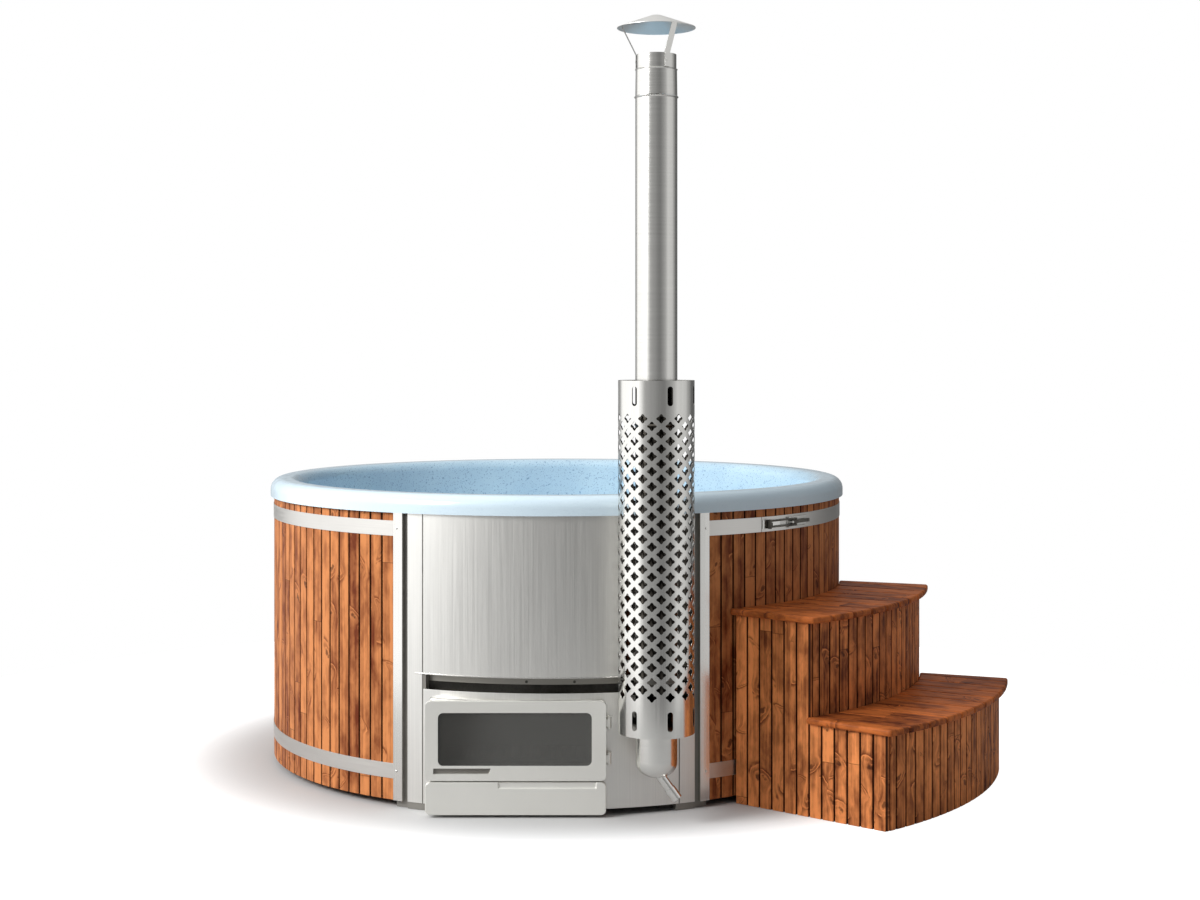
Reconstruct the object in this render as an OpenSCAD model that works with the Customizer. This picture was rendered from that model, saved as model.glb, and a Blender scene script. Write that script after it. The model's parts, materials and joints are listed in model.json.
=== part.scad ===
// Wood-clad hot tub with a built-in stove, a shielded chimney and curved stairs.
// The origin is the tub's axis on the floor, the stove faces -Y and +Z is up. Sizes are in millimetres.
// Plan angles are measured from the front (-Y) towards +X.

/* [Tub wall] */
// Radius to the outer face of the wooden staves
tub_r = 950; // [900:5:1050]
// Height of the stave wall
wall_h = 852; // [800:1:950]
// Gap between the floor and the staves
wall_gap = 20; // [10:1:40]
// Thickness of a stave
stave_t = 22; // [18:1:28]
// Width of a stave with its shadow groove
stave_pitch = 45; // [36:1:90]
// Width of the shadow groove between two staves
stave_groove = 5; // [2:0.5:8]

/* [Liner] */
// Wall thickness of the moulded liner
liner_t = 6; // [4:0.5:8]
// How far the rim's lip stands out over the staves
rim_overhang = 12; // [9:1:25]
// Straight drop of the lip
lip_h = 21; // [15:1:40]
// Radius of the rolled rim edges
rim_roll = 37; // [25:1:45]
// Flat width on top of the rim
rim_flat = 25; // [5:1:40]
// Height of the bench over the floor
bench_h = 448; // [430:1:520]
// Distance from the stave face to the footwell's edge
bench_reach = 384; // [370:1:430]
// Lean of the liner walls from upright, in degrees
wall_lean = 4; // [2:0.5:6]

/* [Base] */
// Height of the beams under the liner
beam_h = 94; // [85:1:110]
// Width of a beam
beam_w = 48; // [36:1:70]
// Distance between two beams
beam_pitch = 240; // [200:10:280]

/* [Bands] */
// Height of a steel band
band_h = 45; // [30:1:60]
// Thickness of a steel band
band_t = 1.5; // [1:0.1:3]
// Distance from the wall's top to the middle of the upper band
upper_band_drop = 47; // [35:1:100]
// Distance from the wall's bottom to the middle of the lower band
lower_band_rise = 86; // [83:1:150]

/* [Front panel] */
// Half width of the steel front panel
panel_half_w = 375.8; // [373:0.1:400]
// Angle of a side strip, in degrees
strip_angle = 3; // [2:0.1:4]
// Angle of the groove beside a post, in degrees
groove_angle = 1; // [0.6:0.1:2]
// Angle of a post, in degrees
post_angle = 1.9; // [1.5:0.1:3]
// Thickness of the front sheets
sheet_t = 1.5; // [1:0.1:2]
// Height of the air slot between the two front sheets
slot_h = 45; // [25:1:50]

/* [Stove] */
// Sideways place of the door's middle
door_x = -100; // [-105:1:-95]
// Width of the fire door and the ash drawer front
door_w = 524; // [500:1:530]
// Height of the fire door
door_h = 230; // [220:1:260]
// Thickness of the fire door
door_t = 20; // [16:1:22]
// How far the door's face stands out over the staves
door_stand = 15; // [13:1:30]
// Width of the door's window
window_w = 445; // [380:1:455]
// Height of the door's window
window_h = 153; // [120:1:160]
// Corner radius of the door, the window and the drawer front
corner_r = 15; // [8:1:20]
// Height of the ash drawer front
drawer_h = 95; // [80:1:100]
// Gap between the floor and the drawer front
drawer_gap = 8; // [5:1:12]
// Height of the water jacket body
heater_h = 257; // [250:1:275]

/* [Chimney] */
// Outer radius of the flue pipe
pipe_r = 60; // [50:1:62]
// Sideways gap between the fire door and the chimney's shield
shield_gap = 33.6; // [30:0.1:40]
// Distance from the stave face to the chimney's axis
chimney_reach = 140; // [132:1:180]
// Height of the chimney's open end over the floor
pipe_top = 2193; // [1800:1:2600]
// Radius of the rain cap
cap_r = 112; // [90:1:150]
// Height of the rain cap's cone
cap_rise = 38; // [25:1:60]
// Gap between the pipe's end and the cap's brim
cap_gap = 77; // [60:1:110]

/* [Heat shield] */
// Outer radius of the perforated shield
shield_r = 109; // [95:1:115]
// Height of the shield's lower edge over the floor
shield_bottom = 266; // [245:1:275]
// Length of the shield
shield_len = 1001; // [700:1:1200]
// Columns of holes round the shield
shield_columns = 26; // [14:2:30]
// Upright distance between two rows of one column
shield_row_pitch = 42.1; // [36:0.1:60]
// Side length of a diamond hole
shield_hole = 19; // [10:0.5:20]

/* [Latch] */
// Distance along the wall from the right post to the lever's pin
latch_reach = 338; // [280:1:500]
// Length of the lever beyond its pin
lever_len = 97; // [85:1:120]
// Distance between the lever's pin and the bail's pin
lever_throw = 20; // [17:1:24]
// Length of the bail from its pin to the crossbar
bail_len = 130; // [120:1:150]

/* [Stairs] */
// Distance along the wall from the right post to the stairs
stair_reach = 89; // [60:1:900]
// Height of one step
step_rise = 291; // [240:1:310]
// Distance from the stave face to the upper step's front
upper_going = 264; // [220:1:320]
// Distance from the upper step's front to the lower step's front
lower_going = 256; // [220:1:320]
// Half width of the stairs at the tub
stair_half_w = 390; // [300:5:400]
// Angle by which each side opens outwards, in degrees
stair_flare = 9.4; // [0:0.1:12]
// Thickness of the treads
tread_t = 20; // [16:1:28]
// Overhang of the treads over the front boards
tread_nose = 27; // [10:1:40]
// Overhang of the treads over the side boards
tread_side = 15; // [5:1:30]
// Width of a tread board
tread_board_w = 92; // [60:1:140]
// Thickness of the upright boards
clad_t = 18; // [15:1:24]

/* [Hidden] */
$fn = 180;
// Facets of small round details
fn_small = 48;

// Shared clearances and cuts
seat = 0.3;
run_fit = 0.05;
cut = 2;
board_gap = 0.3;

// Colours
wood = [0.62, 0.36, 0.2];
stair_wood = [0.55, 0.31, 0.17];
frame_wood = [0.75, 0.6, 0.42];
steel = [0.78, 0.78, 0.77];
bright_steel = [0.86, 0.86, 0.85];
shell_blue = [0.72, 0.85, 0.94];
iron = [0.22, 0.22, 0.22];
dark = [0.12, 0.12, 0.12];
smoked_glass = [0.3, 0.3, 0.3, 0.6];

// Tub wall
wall_top = wall_gap + wall_h;
stave_tuck = 14;
stave_top = wall_top + stave_tuck;
stave_r_in = tub_r - stave_t;
groove_depth_share = 0.35;
board_chamfer_share = 0.3;
seam_angle = 0.2;
panel_angle = asin(panel_half_w / tub_r);
strip_a0 = panel_angle + seam_angle;
strip_a1 = strip_a0 + strip_angle;
post_a0 = strip_a1 + groove_angle;
post_a1 = post_a0 + post_angle;
stave_arc = 360 - 2 * post_a1;
stave_count = round(stave_arc * PI / 180 * tub_r / stave_pitch);
stave_step = stave_arc / stave_count;
stave_w = 2 * tub_r * tan(stave_step / 2);
mm_angle = 180 / PI / tub_r;
latch_angle = post_a1 + latch_reach * mm_angle;
stair_angle = post_a1 + stair_reach * mm_angle + asin(stair_half_w / tub_r);
left_count = round(stave_count / 3);
right_count = left_count;

// Liner
lip_r = tub_r + rim_overhang;
footwell_r = tub_r - bench_reach;
rim_z = wall_top + lip_h;
rim_out_r = lip_r - rim_roll;
rim_in_r = rim_out_r - rim_flat;
bench_fillet = 36;
bench_nose = 32;
floor_fillet = 40;
liner_floor = beam_h + liner_t;
arc_steps = 10;

// Base
beam_inset = 45;
beam_r = tub_r - beam_inset;
ring_h = band_h;
ring_r_out = stave_r_in - seat;

// Bands
upper_band_z = wall_top - upper_band_drop;
lower_band_z = wall_gap + lower_band_rise;
band_r = tub_r + board_gap + seat / 2;
band_end_lap = 1.2;
band_end_a = post_a1 - band_end_lap;
screw_r = 4;
screw_head = 2.5;
post_r = band_r + band_t + seat;
post_t = 1.5;
post_edge_angle = 0.12;

// Front panel
rail_r_in = ring_r_out + seat;
rail_r_out = tub_r - sheet_t - seat;
rail_recess = 10;
rail_recess_r = tub_r - rail_recess;
rail_lap_angle = 0.5;
rail_a0 = panel_angle - rail_lap_angle;
rail_a1 = post_a1 - seam_angle;

// Stove. Its front plane is the door's face.
door_face = -(tub_r + door_stand);
door_back = door_face + door_t;
neck_face = door_back + seat;
drawer_top = drawer_gap + drawer_h;
door_gap = 4;
door_bottom = drawer_top + door_gap;
door_top = door_bottom + door_h;
door_left = door_x - door_w / 2;
door_right = door_x + door_w / 2;
door_mid_z = door_bottom + door_h / 2;
door_lap = 5;
neck_wall = 4;
neck_side = 10;
neck_rim = 12;
neck_x0 = door_left + neck_side;
neck_x1 = door_right - neck_side;
neck_top = door_top - door_lap;
neck_bottom = drawer_gap + neck_wall;
fire_sill = 27;
fire_floor = door_bottom + fire_sill;
heater_left = 18;
heater_right = 205;
heater_x0 = neck_x0 - heater_left;
heater_x1 = neck_x1 + heater_right;
heater_clear = 5;
heater_front = -sqrt(pow(ring_r_out - heater_clear, 2) - pow(max(-heater_x0, heater_x1), 2));
heater_depth = 245;
heater_back = heater_front + heater_depth;
heater_skin = 4;
heater_wall = 30;
heater_plate = 12;
heater_floor_t = 6;
heater_bottom = fire_floor - heater_floor_t;
heater_top = heater_bottom + heater_h;
sheet_clear = 1;
slot_rise = 20;
slot_bottom = door_top + slot_rise;
slot_top = slot_bottom + slot_h;

// Chimney
chimney_r = tub_r + chimney_reach;
chimney_x = door_right + shield_gap + shield_r;
chimney_angle = asin(chimney_x / chimney_r);
chimney_y = -chimney_r * cos(chimney_angle);
pipe_t = 1.2;
flue_drop = 95;
flue_z = heater_top - flue_drop;
collar_h = 125;
collar_z = pipe_top - collar_h;
tee_up = 150;
tee_top = flue_z + tee_up;
cap_dome = 45;
tee_show = 79;
tee_bottom = shield_bottom - tee_show;
tee_cap_h = 51;
tee_cap_bottom = tee_bottom - tee_cap_h;
pipe_joint_drop = 123;
pipe_joint = shield_bottom + shield_len - pipe_joint_drop;

// Moves a piece from the chimney's own axis to its place.
module at_chimney() {
    translate([chimney_x, chimney_y, 0]) rotate([0, 0, chimney_angle]) children();
}

// Moves a piece made along +Z at the origin to run outwards along a plan angle.
module outwards(angle, z) {
    translate([0, 0, z]) rotate([0, 0, angle]) rotate([90, 0, 0]) children();
}

// Part of a ring between two plan angles.
module sector(r_in, r_out, a0, a1, z0, z1) {
    rotate([0, 0, a0 - 90])
        rotate_extrude(angle = a1 - a0)
            translate([r_in, z0])
                square([r_out - r_in, z1 - z0]);
}

// A tube with its axis on Z.
module tube(r_out, wall, z0, z1) {
    difference() {
        translate([0, 0, z0]) cylinder(h = z1 - z0, r = r_out);
        translate([0, 0, z0 - cut]) cylinder(h = z1 - z0 + 2 * cut, r = r_out - wall);
    }
}

// A flat rectangle with round corners, centred.
module round_rect(w, h, r) {
    square([w - 2 * r, h], center = true);
    square([w, h - 2 * r], center = true);
    for (x = [-1, 1], y = [-1, 1])
        translate([x * (w / 2 - r), y * (h / 2 - r)]) circle(r = r, $fn = fn_small);
}

// An upright plate with round corners between two Y planes.
module front_plate(x, z, w, h, r, y0, y1) {
    translate([x, y1, z]) rotate([90, 0, 0]) linear_extrude(y1 - y0) round_rect(w, h, r);
}

module box(x0, x1, y0, y1, z0, z1) {
    translate([x0, y0, z0]) cube([x1 - x0, y1 - y0, z1 - z0]);
}

// Section of an upright board: a flat face with chamfered edges, and a wider back
// that closes the shadow groove. The face looks along +Y at y = 0. Boards that stand
// round an axis are narrower at the back, by the angle that each of them fills.
function board_section(w, t, groove, fill = 0) = let(
        half_face = (w - groove) / 2,
        half_back = (w - board_gap) / 2,
        depth = t * groove_depth_share,
        chamfer = groove * board_chamfer_share,
        half_step = half_back - depth * tan(fill / 2),
        half_rear = half_back - t * tan(fill / 2)
    ) [
        [-half_face + chamfer, 0], [half_face - chamfer, 0], [half_face, -chamfer], [half_face, -depth],
        [half_step, -depth], [half_rear, -t], [-half_rear, -t], [-half_step, -depth],
        [-half_face, -depth], [-half_face, -chamfer]
    ];

// Points on an arc round a centre, in the profile's radius and height.
function arc(centre, r, a0, a1) = [
    for (i = [0:arc_steps]) let(a = a0 + (a1 - a0) * i / arc_steps) centre + r * [cos(a), sin(a)]
];

// The liner's section, moved by d from its wet side into the shell.
rim_in_centre = [rim_in_r, rim_z];
wall_dir = [-sin(wall_lean), -cos(wall_lean)];
wall_start = rim_in_centre - rim_roll * [cos(wall_lean), -sin(wall_lean)];
bench_r_out = wall_start[0] + wall_dir[0] / -wall_dir[1] * (wall_start[1] - bench_h - bench_fillet)
    - bench_fillet * cos(wall_lean);
foot_r_bottom = footwell_r - floor_fillet - (bench_h - liner_floor) * tan(wall_lean / 2);

function liner_path(d) = concat(
    [[lip_r - d, wall_top]],
    arc([rim_out_r, rim_z], rim_roll - d, 0, 90),
    arc(rim_in_centre, rim_roll - d, 90, 180 - wall_lean),
    arc([bench_r_out, bench_h + bench_fillet], bench_fillet + d, -wall_lean, -90),
    arc([footwell_r + bench_nose, bench_h - bench_nose], bench_nose - d, 90, 180 - wall_lean / 2),
    arc([foot_r_bottom, liner_floor + floor_fillet], floor_fillet + d, -wall_lean / 2, -90),
    [[0, liner_floor - d]]
);

// Radius of the liner's hidden side at a height on the upper wall
function liner_back_r(z) = wall_start[0] + liner_t / cos(wall_lean) - (wall_start[1] - z) * tan(wall_lean);

// Water ports run through the footwell wall, the drain through its floor.
port_r = 30;
port_wall = 2;
port_angles = [-15, 12];
port_edge = 50;
port_heights = [fire_floor + port_edge, heater_top - port_edge];
port_stand = 20;
port_in = footwell_r - port_stand;
port_out = [for (a = port_angles) (heater_wall / 2 - heater_back) / cos(a)];
drain_y = 110;
drain_r = 25;
drain_wall = 5;
drain_flange_r = 45;
drain_flange_t = 3;
drain_pipe_drop = 42;
drain_pipe_z = beam_h - drain_pipe_drop;
drain_pipe_r = 20;
drain_pipe_wall = 2.5;
drain_spigot = 60;
drain_pipe_out = tub_r + drain_spigot;
drain_tail_r = 19;
drain_tail_len = 50;

module liner() {
    color(shell_blue)
        difference() {
            rotate_extrude() polygon(concat(liner_path(0), [for (i = [len(liner_path(0)) - 1:-1:0])
                liner_path(liner_t)[i]]));
            for (i = [0, 1])
                outwards(port_angles[i], port_heights[i])
                    translate([0, 0, port_in]) cylinder(h = port_out[i] - port_in, r = port_r + seat);
            translate([0, drain_y, liner_floor - liner_t - cut])
                cylinder(h = liner_t + 2 * cut, r = drain_r + seat);
        }
}

module drain_fitting() {
    color(bright_steel)
        translate([0, drain_y, 0])
            difference() {
                union() {
                    translate([0, 0, drain_pipe_z - drain_r])
                        cylinder(h = liner_floor + drain_flange_t - drain_pipe_z + drain_r, r = drain_r);
                    translate([0, 0, liner_floor]) cylinder(h = drain_flange_t, r = drain_flange_r);
                }
                translate([0, 0, drain_pipe_z - drain_r + drain_wall])
                    cylinder(h = liner_floor - drain_pipe_z + 2 * drain_r, r = drain_r - drain_wall);
                translate([0, 0, drain_pipe_z]) rotate([-90, 0, 0])
                    cylinder(h = 2 * drain_r, r = drain_pipe_r - drain_pipe_wall);
            }
}

plug_r = 35;
plug_t = 6;
plug_stem = 16;
plug_knob_r = 9;
plug_knob_h = 16;

module drain_plug() {
    color(dark)
        translate([0, drain_y, liner_floor + drain_flange_t + seat]) {
            cylinder(h = plug_t, r = plug_r);
            translate([0, 0, -plug_stem]) cylinder(h = plug_stem + plug_t, r = drain_r - drain_wall - run_fit);
            translate([0, 0, plug_t]) cylinder(h = plug_knob_h, r = plug_knob_r, $fn = fn_small);
        }
}

module drain_pipe() {
    color(dark)
        difference() {
            translate([0, drain_y, drain_pipe_z]) rotate([-90, 0, 0])
                difference() {
                    union() {
                        cylinder(h = drain_pipe_out - drain_tail_len - drain_y, r = drain_pipe_r);
                        cylinder(h = drain_pipe_out - drain_y, r = drain_tail_r);
                    }
                    translate([0, 0, -cut]) cylinder(h = drain_pipe_out, r = drain_pipe_r - drain_pipe_wall);
                }
            translate([0, drain_y, 0]) cylinder(h = beam_h, r = drain_r);
        }
}

// The hole that the drain pipe needs through beams and staves
module drain_path() {
    translate([0, drain_y, drain_pipe_z]) rotate([-90, 0, 0])
        cylinder(h = drain_pipe_out, r = drain_pipe_r + seat);
}

back_beam_count = floor((beam_r - beam_w / 2) / beam_pitch);

module base_beams() {
    color(frame_wood)
        difference() {
            intersection() {
                cylinder(h = beam_h, r = beam_r);
                for (i = [-front_beam_count:back_beam_count])
                    translate([-tub_r, i * beam_pitch - beam_w / 2, 0]) cube([2 * tub_r, beam_w, beam_h]);
            }
            drain_path();
            translate([0, drain_y, 0]) cylinder(h = beam_h + cut, r = drain_r + seat);
        }
}

module lower_backing_ring() {
    color(frame_wood)
        sector(beam_r + seat, ring_r_out, post_a0, 360 - post_a0,
            lower_band_z - ring_h / 2, lower_band_z + ring_h / 2);
}

module upper_backing_ring() {
    color(frame_wood)
        sector(liner_back_r(upper_band_z + ring_h / 2) + seat, ring_r_out, post_a0, 360 - post_a0,
            upper_band_z - ring_h / 2, upper_band_z + ring_h / 2);
}

module stave_run(first, count) {
    color(wood)
        for (i = [first:first + count - 1])
            rotate([0, 0, post_a1 + (i + 0.5) * stave_step])
                translate([0, -tub_r, wall_gap])
                    linear_extrude(stave_top - wall_gap)
                        mirror([0, 1]) polygon(board_section(stave_w, stave_t, stave_groove, stave_step));
}

module staves_right() { stave_run(0, right_count); }

module staves_back() {
    difference() {
        stave_run(right_count, stave_count - left_count - right_count);
        color(wood) drain_path();
    }
}

module staves_left() { stave_run(stave_count - left_count, left_count); }

// Bands, posts and the latch's tongue
tongue_back = 8.1;
base_back = 1;
base_ahead = 5.7;
base_a0 = latch_angle - base_back;
base_a1 = latch_angle + base_ahead;
tongue_a0 = latch_angle - tongue_back;
tongue_a1 = base_a0 - seam_angle;
tongue_t = 1.5;
band_split = (tongue_a0 + tongue_a1) / 2;
band_split_half = 1;
tongue_r = band_r + band_t;

module band(a0, a1, z) {
    color(steel) sector(band_r, band_r + band_t, a0, a1, z - band_h / 2, z + band_h / 2);
}

module upper_band() {
    band(band_end_a, band_split - band_split_half, upper_band_z);
    band(band_split + band_split_half, 360 - band_end_a, upper_band_z);
    color(steel)
        sector(tongue_r, tongue_r + tongue_t, tongue_a0, tongue_a1,
            upper_band_z - band_h / 2, upper_band_z + band_h / 2);
}

module lower_band() { band(band_end_a, 360 - band_end_a, lower_band_z); }

module post() {
    difference() {
        union() {
            sector(post_r, post_r + post_t, post_a0, post_a1, wall_gap, stave_top);
            sector(rail_recess_r + seat, post_r + post_t, post_a0, post_a0 + post_edge_angle,
                wall_gap, stave_top);
        }
        for (z = [lower_band_z, upper_band_z]) band_screw_hole(z);
    }
}

band_screw_a = (band_end_a + post_a1) / 2;

module band_screw_hole(z) {
    outwards(band_screw_a, z) translate([0, 0, post_r - cut])
        cylinder(h = post_t + 2 * cut, r = screw_r / 2 + run_fit, $fn = fn_small);
}

module right_post() { color(bright_steel) post(); }

module left_post() { color(bright_steel) mirror([1, 0, 0]) post(); }

module band_screws() {
    color(steel)
        for (side = [0, 1], z = [lower_band_z, upper_band_z])
            mirror([side, 0, 0])
                outwards(band_screw_a, z) {
                    translate([0, 0, post_r - seat])
                        cylinder(h = post_t + seat, r = screw_r / 2, $fn = fn_small);
                    translate([0, 0, post_r + post_t])
                        cylinder(h = screw_head, r = screw_r, $fn = fn_small);
                }
}

module side_strip() {
    sector(tub_r - sheet_t, tub_r, strip_a0, strip_a1, wall_gap, stave_top);
}

module right_side_strip() { color(bright_steel) side_strip(); }

module left_side_strip() { color(bright_steel) mirror([1, 0, 0]) side_strip(); }

module front_rails() {
    color(steel)
        for (side = [0, 1])
            mirror([side, 0, 0]) {
                difference() {
                    sector(rail_r_in, rail_r_out, rail_a0, rail_a1, 0, stave_top);
                    sector(rail_recess_r, tub_r, strip_a1, post_a1 + seam_angle, -cut, stave_top + cut);
                }
            }
}

module upper_front_sheet() {
    color(steel) {
        sector(tub_r - sheet_t, tub_r, -panel_angle, panel_angle, slot_top, stave_top);
        sector(rail_r_in, tub_r - sheet_t, rail_lap_angle - rail_a0, rail_a0 - rail_lap_angle,
            slot_top, slot_top + sheet_t);
    }
}

module lower_front_sheet() {
    color(steel)
        difference() {
            sector(tub_r - sheet_t, tub_r, -panel_angle, panel_angle, wall_gap, slot_bottom);
            box(neck_x0 - sheet_clear, neck_x1 + sheet_clear, door_face, heater_front,
                0, neck_top + sheet_clear);
            box(neck_x0, neck_x1, door_face, door_back + sheet_clear, 0, door_top + sheet_clear);
            outwards(chimney_angle, flue_z)
                translate([0, 0, tub_r - 2 * pipe_r]) cylinder(h = 4 * pipe_r, r = pipe_r + sheet_clear);
        }
}

slot_plate_r = rail_r_in - sheet_t - seat;
slot_plate_drop = 23;
slot_plate_high = 18;
slot_screw_x = 70;

module slot_plate() {
    color(iron)
        sector(slot_plate_r, slot_plate_r + sheet_t, -panel_angle, panel_angle,
            slot_top - slot_plate_drop, slot_top + slot_plate_high);
}

ledge_t = 3;
ledge_stand = 2.5;
ledge_lug_angle = 1.6;

module slot_ledge() {
    color(bright_steel)
        sector(tub_r, tub_r + ledge_stand, -panel_angle - ledge_lug_angle, panel_angle,
            slot_top - ledge_t / 2, slot_top + ledge_t / 2);
}

module slot_screws() {
    color(iron)
        for (x = [-slot_screw_x, slot_screw_x])
            outwards(asin(x / slot_plate_r), slot_top - slot_h / 3)
                translate([0, 0, slot_plate_r + sheet_t])
                    cylinder(h = screw_head, r = screw_r, $fn = fn_small);
}

// Stove
fire_x0 = neck_x0 + neck_rim;
fire_x1 = neck_x1 - neck_rim;
fire_top = neck_top - neck_rim;
ash_wall = 2;
foot = 40;
ash_back = heater_back - foot - seat;
front_beam_count = floor((-heater_back - beam_w / 2 - seat) / beam_pitch);
ash_x0 = neck_x0 + ash_wall;
ash_x1 = neck_x1 - ash_wall;
ash_floor = neck_bottom + ash_wall;
ash_top = drawer_top;

module stove_neck() {
    color(steel)
        difference() {
            box(neck_x0, neck_x1, neck_face, heater_front, neck_bottom, neck_top);
            box(fire_x0, fire_x1, neck_face - cut, heater_front + cut, fire_floor, fire_top);
            box(ash_x0, ash_x1, neck_face - cut, heater_front + cut, ash_floor, ash_top);
        }
}

module ash_box() {
    color(iron)
        difference() {
            box(neck_x0, neck_x1, heater_front, ash_back, neck_bottom, heater_bottom);
            box(ash_x0, ash_x1, heater_front - cut, ash_back - ash_wall, ash_floor, heater_bottom + cut);
        }
}

grate_w = 400;
grate_d = 190;
grate_t = 8;
grate_lap = 10;
grate_bars = 12;
grate_gap = 8;
grate_x = door_x;
grate_y = heater_front + heater_plate + grate_d / 2 + grate_gap;

module flue_hole(r, from, to) {
    outwards(chimney_angle, flue_z) translate([0, 0, from]) cylinder(h = to - from, r = r);
}

flue_reach = 20;
flue_in_r = -heater_front / cos(chimney_angle) - flue_reach;

// A steel body with a water jacket round its sides, back and top.
module heater_body() {
    color(iron)
        difference() {
            box(heater_x0, heater_x1, heater_front, heater_back, heater_bottom, heater_top);
            difference() {
                box(heater_x0 + heater_skin, heater_x1 - heater_skin, heater_front + heater_plate,
                    heater_back - heater_skin, heater_bottom + heater_plate, heater_top - heater_skin);
                box(heater_x0 + heater_wall - heater_skin, heater_x1 - heater_wall + heater_skin,
                    heater_front, heater_back - heater_wall + heater_skin,
                    heater_bottom, heater_top - heater_wall + heater_skin);
            }
            box(heater_x0 + heater_wall, heater_x1 - heater_wall, heater_front + heater_plate,
                heater_back - heater_wall, fire_floor, heater_top - heater_wall);
            box(fire_x0, fire_x1, heater_front - cut, heater_front + heater_plate + cut, fire_floor, fire_top);
            box(grate_x - grate_w / 2 + grate_lap, grate_x + grate_w / 2 - grate_lap,
                grate_y - grate_d / 2 + grate_lap, grate_y + grate_d / 2 - grate_lap,
                heater_bottom - cut, fire_floor + cut);
            flue_hole(pipe_r + run_fit, flue_in_r - pipe_r, -heater_front + pipe_r);
            for (i = [0, 1])
                outwards(port_angles[i], port_heights[i])
                    translate([0, 0, port_in]) cylinder(h = port_out[i] - port_in, r = port_r + run_fit);
        }
}

skid_w = 20;

module stove_feet() {
    color(iron) {
        box(heater_x1 - foot, heater_x1, heater_front, heater_front + foot, 0, heater_bottom);
        box(heater_x1 - foot, heater_x1, heater_back - foot, heater_back, 0, heater_bottom);
        box(heater_x0, heater_x0 + foot, heater_back - foot, heater_back, 0, heater_bottom);
        for (x = [neck_x0 + foot, neck_x1 - foot])
            box(x - skid_w / 2, x + skid_w / 2, heater_front, ash_back, 0, neck_bottom);
    }
}

module fire_grate() {
    bar_pitch = (grate_w - 4 * grate_lap) / grate_bars;
    color(iron)
        difference() {
            box(grate_x - grate_w / 2, grate_x + grate_w / 2, grate_y - grate_d / 2, grate_y + grate_d / 2,
                fire_floor, fire_floor + grate_t);
            for (i = [0:grate_bars - 1])
                translate([grate_x - grate_w / 2 + 2 * grate_lap + (i + 1 / 4) * bar_pitch,
                    grate_y - grate_d / 2 + 2 * grate_lap, fire_floor - cut])
                    cube([bar_pitch / 2, grate_d - 4 * grate_lap, grate_t + 2 * cut]);
        }
}

module water_ports() {
    color(steel)
        for (i = [0, 1])
            outwards(port_angles[i], port_heights[i])
                tube(port_r, port_wall, port_in, port_out[i]);
}

grille_r = 42;
grille_t = 4;
grille_slot = 6;
grille_slots = 5;
grille_share = 0.8;

module port_grilles() {
    color(bright_steel)
        for (i = [0, 1])
            outwards(port_angles[i], port_heights[i])
                translate([0, 0, port_in - grille_t])
                    difference() {
                        cylinder(h = grille_t, r = grille_r);
                        for (k = [-(grille_slots - 1) / 2:(grille_slots - 1) / 2])
                            translate([-port_r * grille_share, (2 * k - 1 / 2) * grille_slot, -cut])
                                cube([2 * port_r * grille_share, grille_slot, grille_t + 2 * cut]);
                    }
}

// Door hinge, on the door's right edge
knuckle_r = 7;
pin_r = 4;
knuckle_h = 23;
hinge_offset = 8;
hinge_x = door_right + hinge_offset;
hinge_y = door_back - knuckle_r;
hinge_inset = 63;
hinge_z = [door_bottom + hinge_inset, door_top - hinge_inset];
arm_t = 5;
arm_gap = 0.4;
arm_d = 6;

module hinge_brackets() {
    color(steel)
        for (z = hinge_z, s = [-1, 1])
            translate([0, 0, z + s * (knuckle_h / 2 + arm_gap + arm_t / 2) - arm_t / 2])
                difference() {
                    union() {
                        translate([hinge_x, hinge_y, 0]) cylinder(h = arm_t, r = knuckle_r, $fn = fn_small);
                        box(hinge_x - knuckle_r, hinge_x + knuckle_r, hinge_y, neck_face + arm_d, 0, arm_t);
                        box(neck_x1, hinge_x, neck_face + seat, neck_face + arm_d, 0, arm_t);
                    }
                    translate([hinge_x, hinge_y, -cut])
                        cylinder(h = arm_t + 2 * cut, r = pin_r + run_fit / 2, $fn = fn_small);
                }
}

module hinge_pins() {
    color(bright_steel)
        for (z = hinge_z)
            translate([hinge_x, hinge_y, z - knuckle_h / 2 - arm_gap - arm_t - screw_head])
                cylinder(h = knuckle_h + 2 * (arm_gap + arm_t + screw_head), r = pin_r, $fn = fn_small);
}

// Fire door: a folded face with the window, glass and retainer behind it
door_skin = 4;
glass_t = 4;
glass_lap = 5;
retainer_t = 7;
glass_y = door_face + door_skin;
retainer_y = glass_y + glass_t;
window_shift = 2;
window_mid_x = door_x - window_shift;
window_lift = 5;
window_mid_z = door_mid_z + window_lift;
gasket_w = 8;
gasket_t = 6;
pull_w = 166;
pull_h = 16;
pull_depth = 12;
pull_left = 24;
pull_low = 20;
pull_slant = 6;
pull_plate_t = 3;

// The gasket runs round the fire opening, along the middle of the neck's rim.
module gasket_ring(y0, y1) {
    w = fire_x1 - fire_x0 + neck_rim;
    h = fire_top - fire_floor + neck_rim;
    x = (fire_x0 + fire_x1) / 2;
    z = (fire_floor + fire_top) / 2;
    difference() {
        front_plate(x, z, w + gasket_w, h + gasket_w, corner_r, y0, y1);
        front_plate(x, z, w - gasket_w, h - gasket_w, corner_r - gasket_w / 2, y0 - cut, y1 + cut);
    }
}

module pull_pocket(y0, y1) {
    translate([door_left + pull_left, y1, door_bottom + pull_low])
        rotate([90, 0, 0]) linear_extrude(y1 - y0)
            polygon([[0, 0], [pull_w - pull_slant, 0], [pull_w, pull_h], [0, pull_h]]);
}

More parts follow.
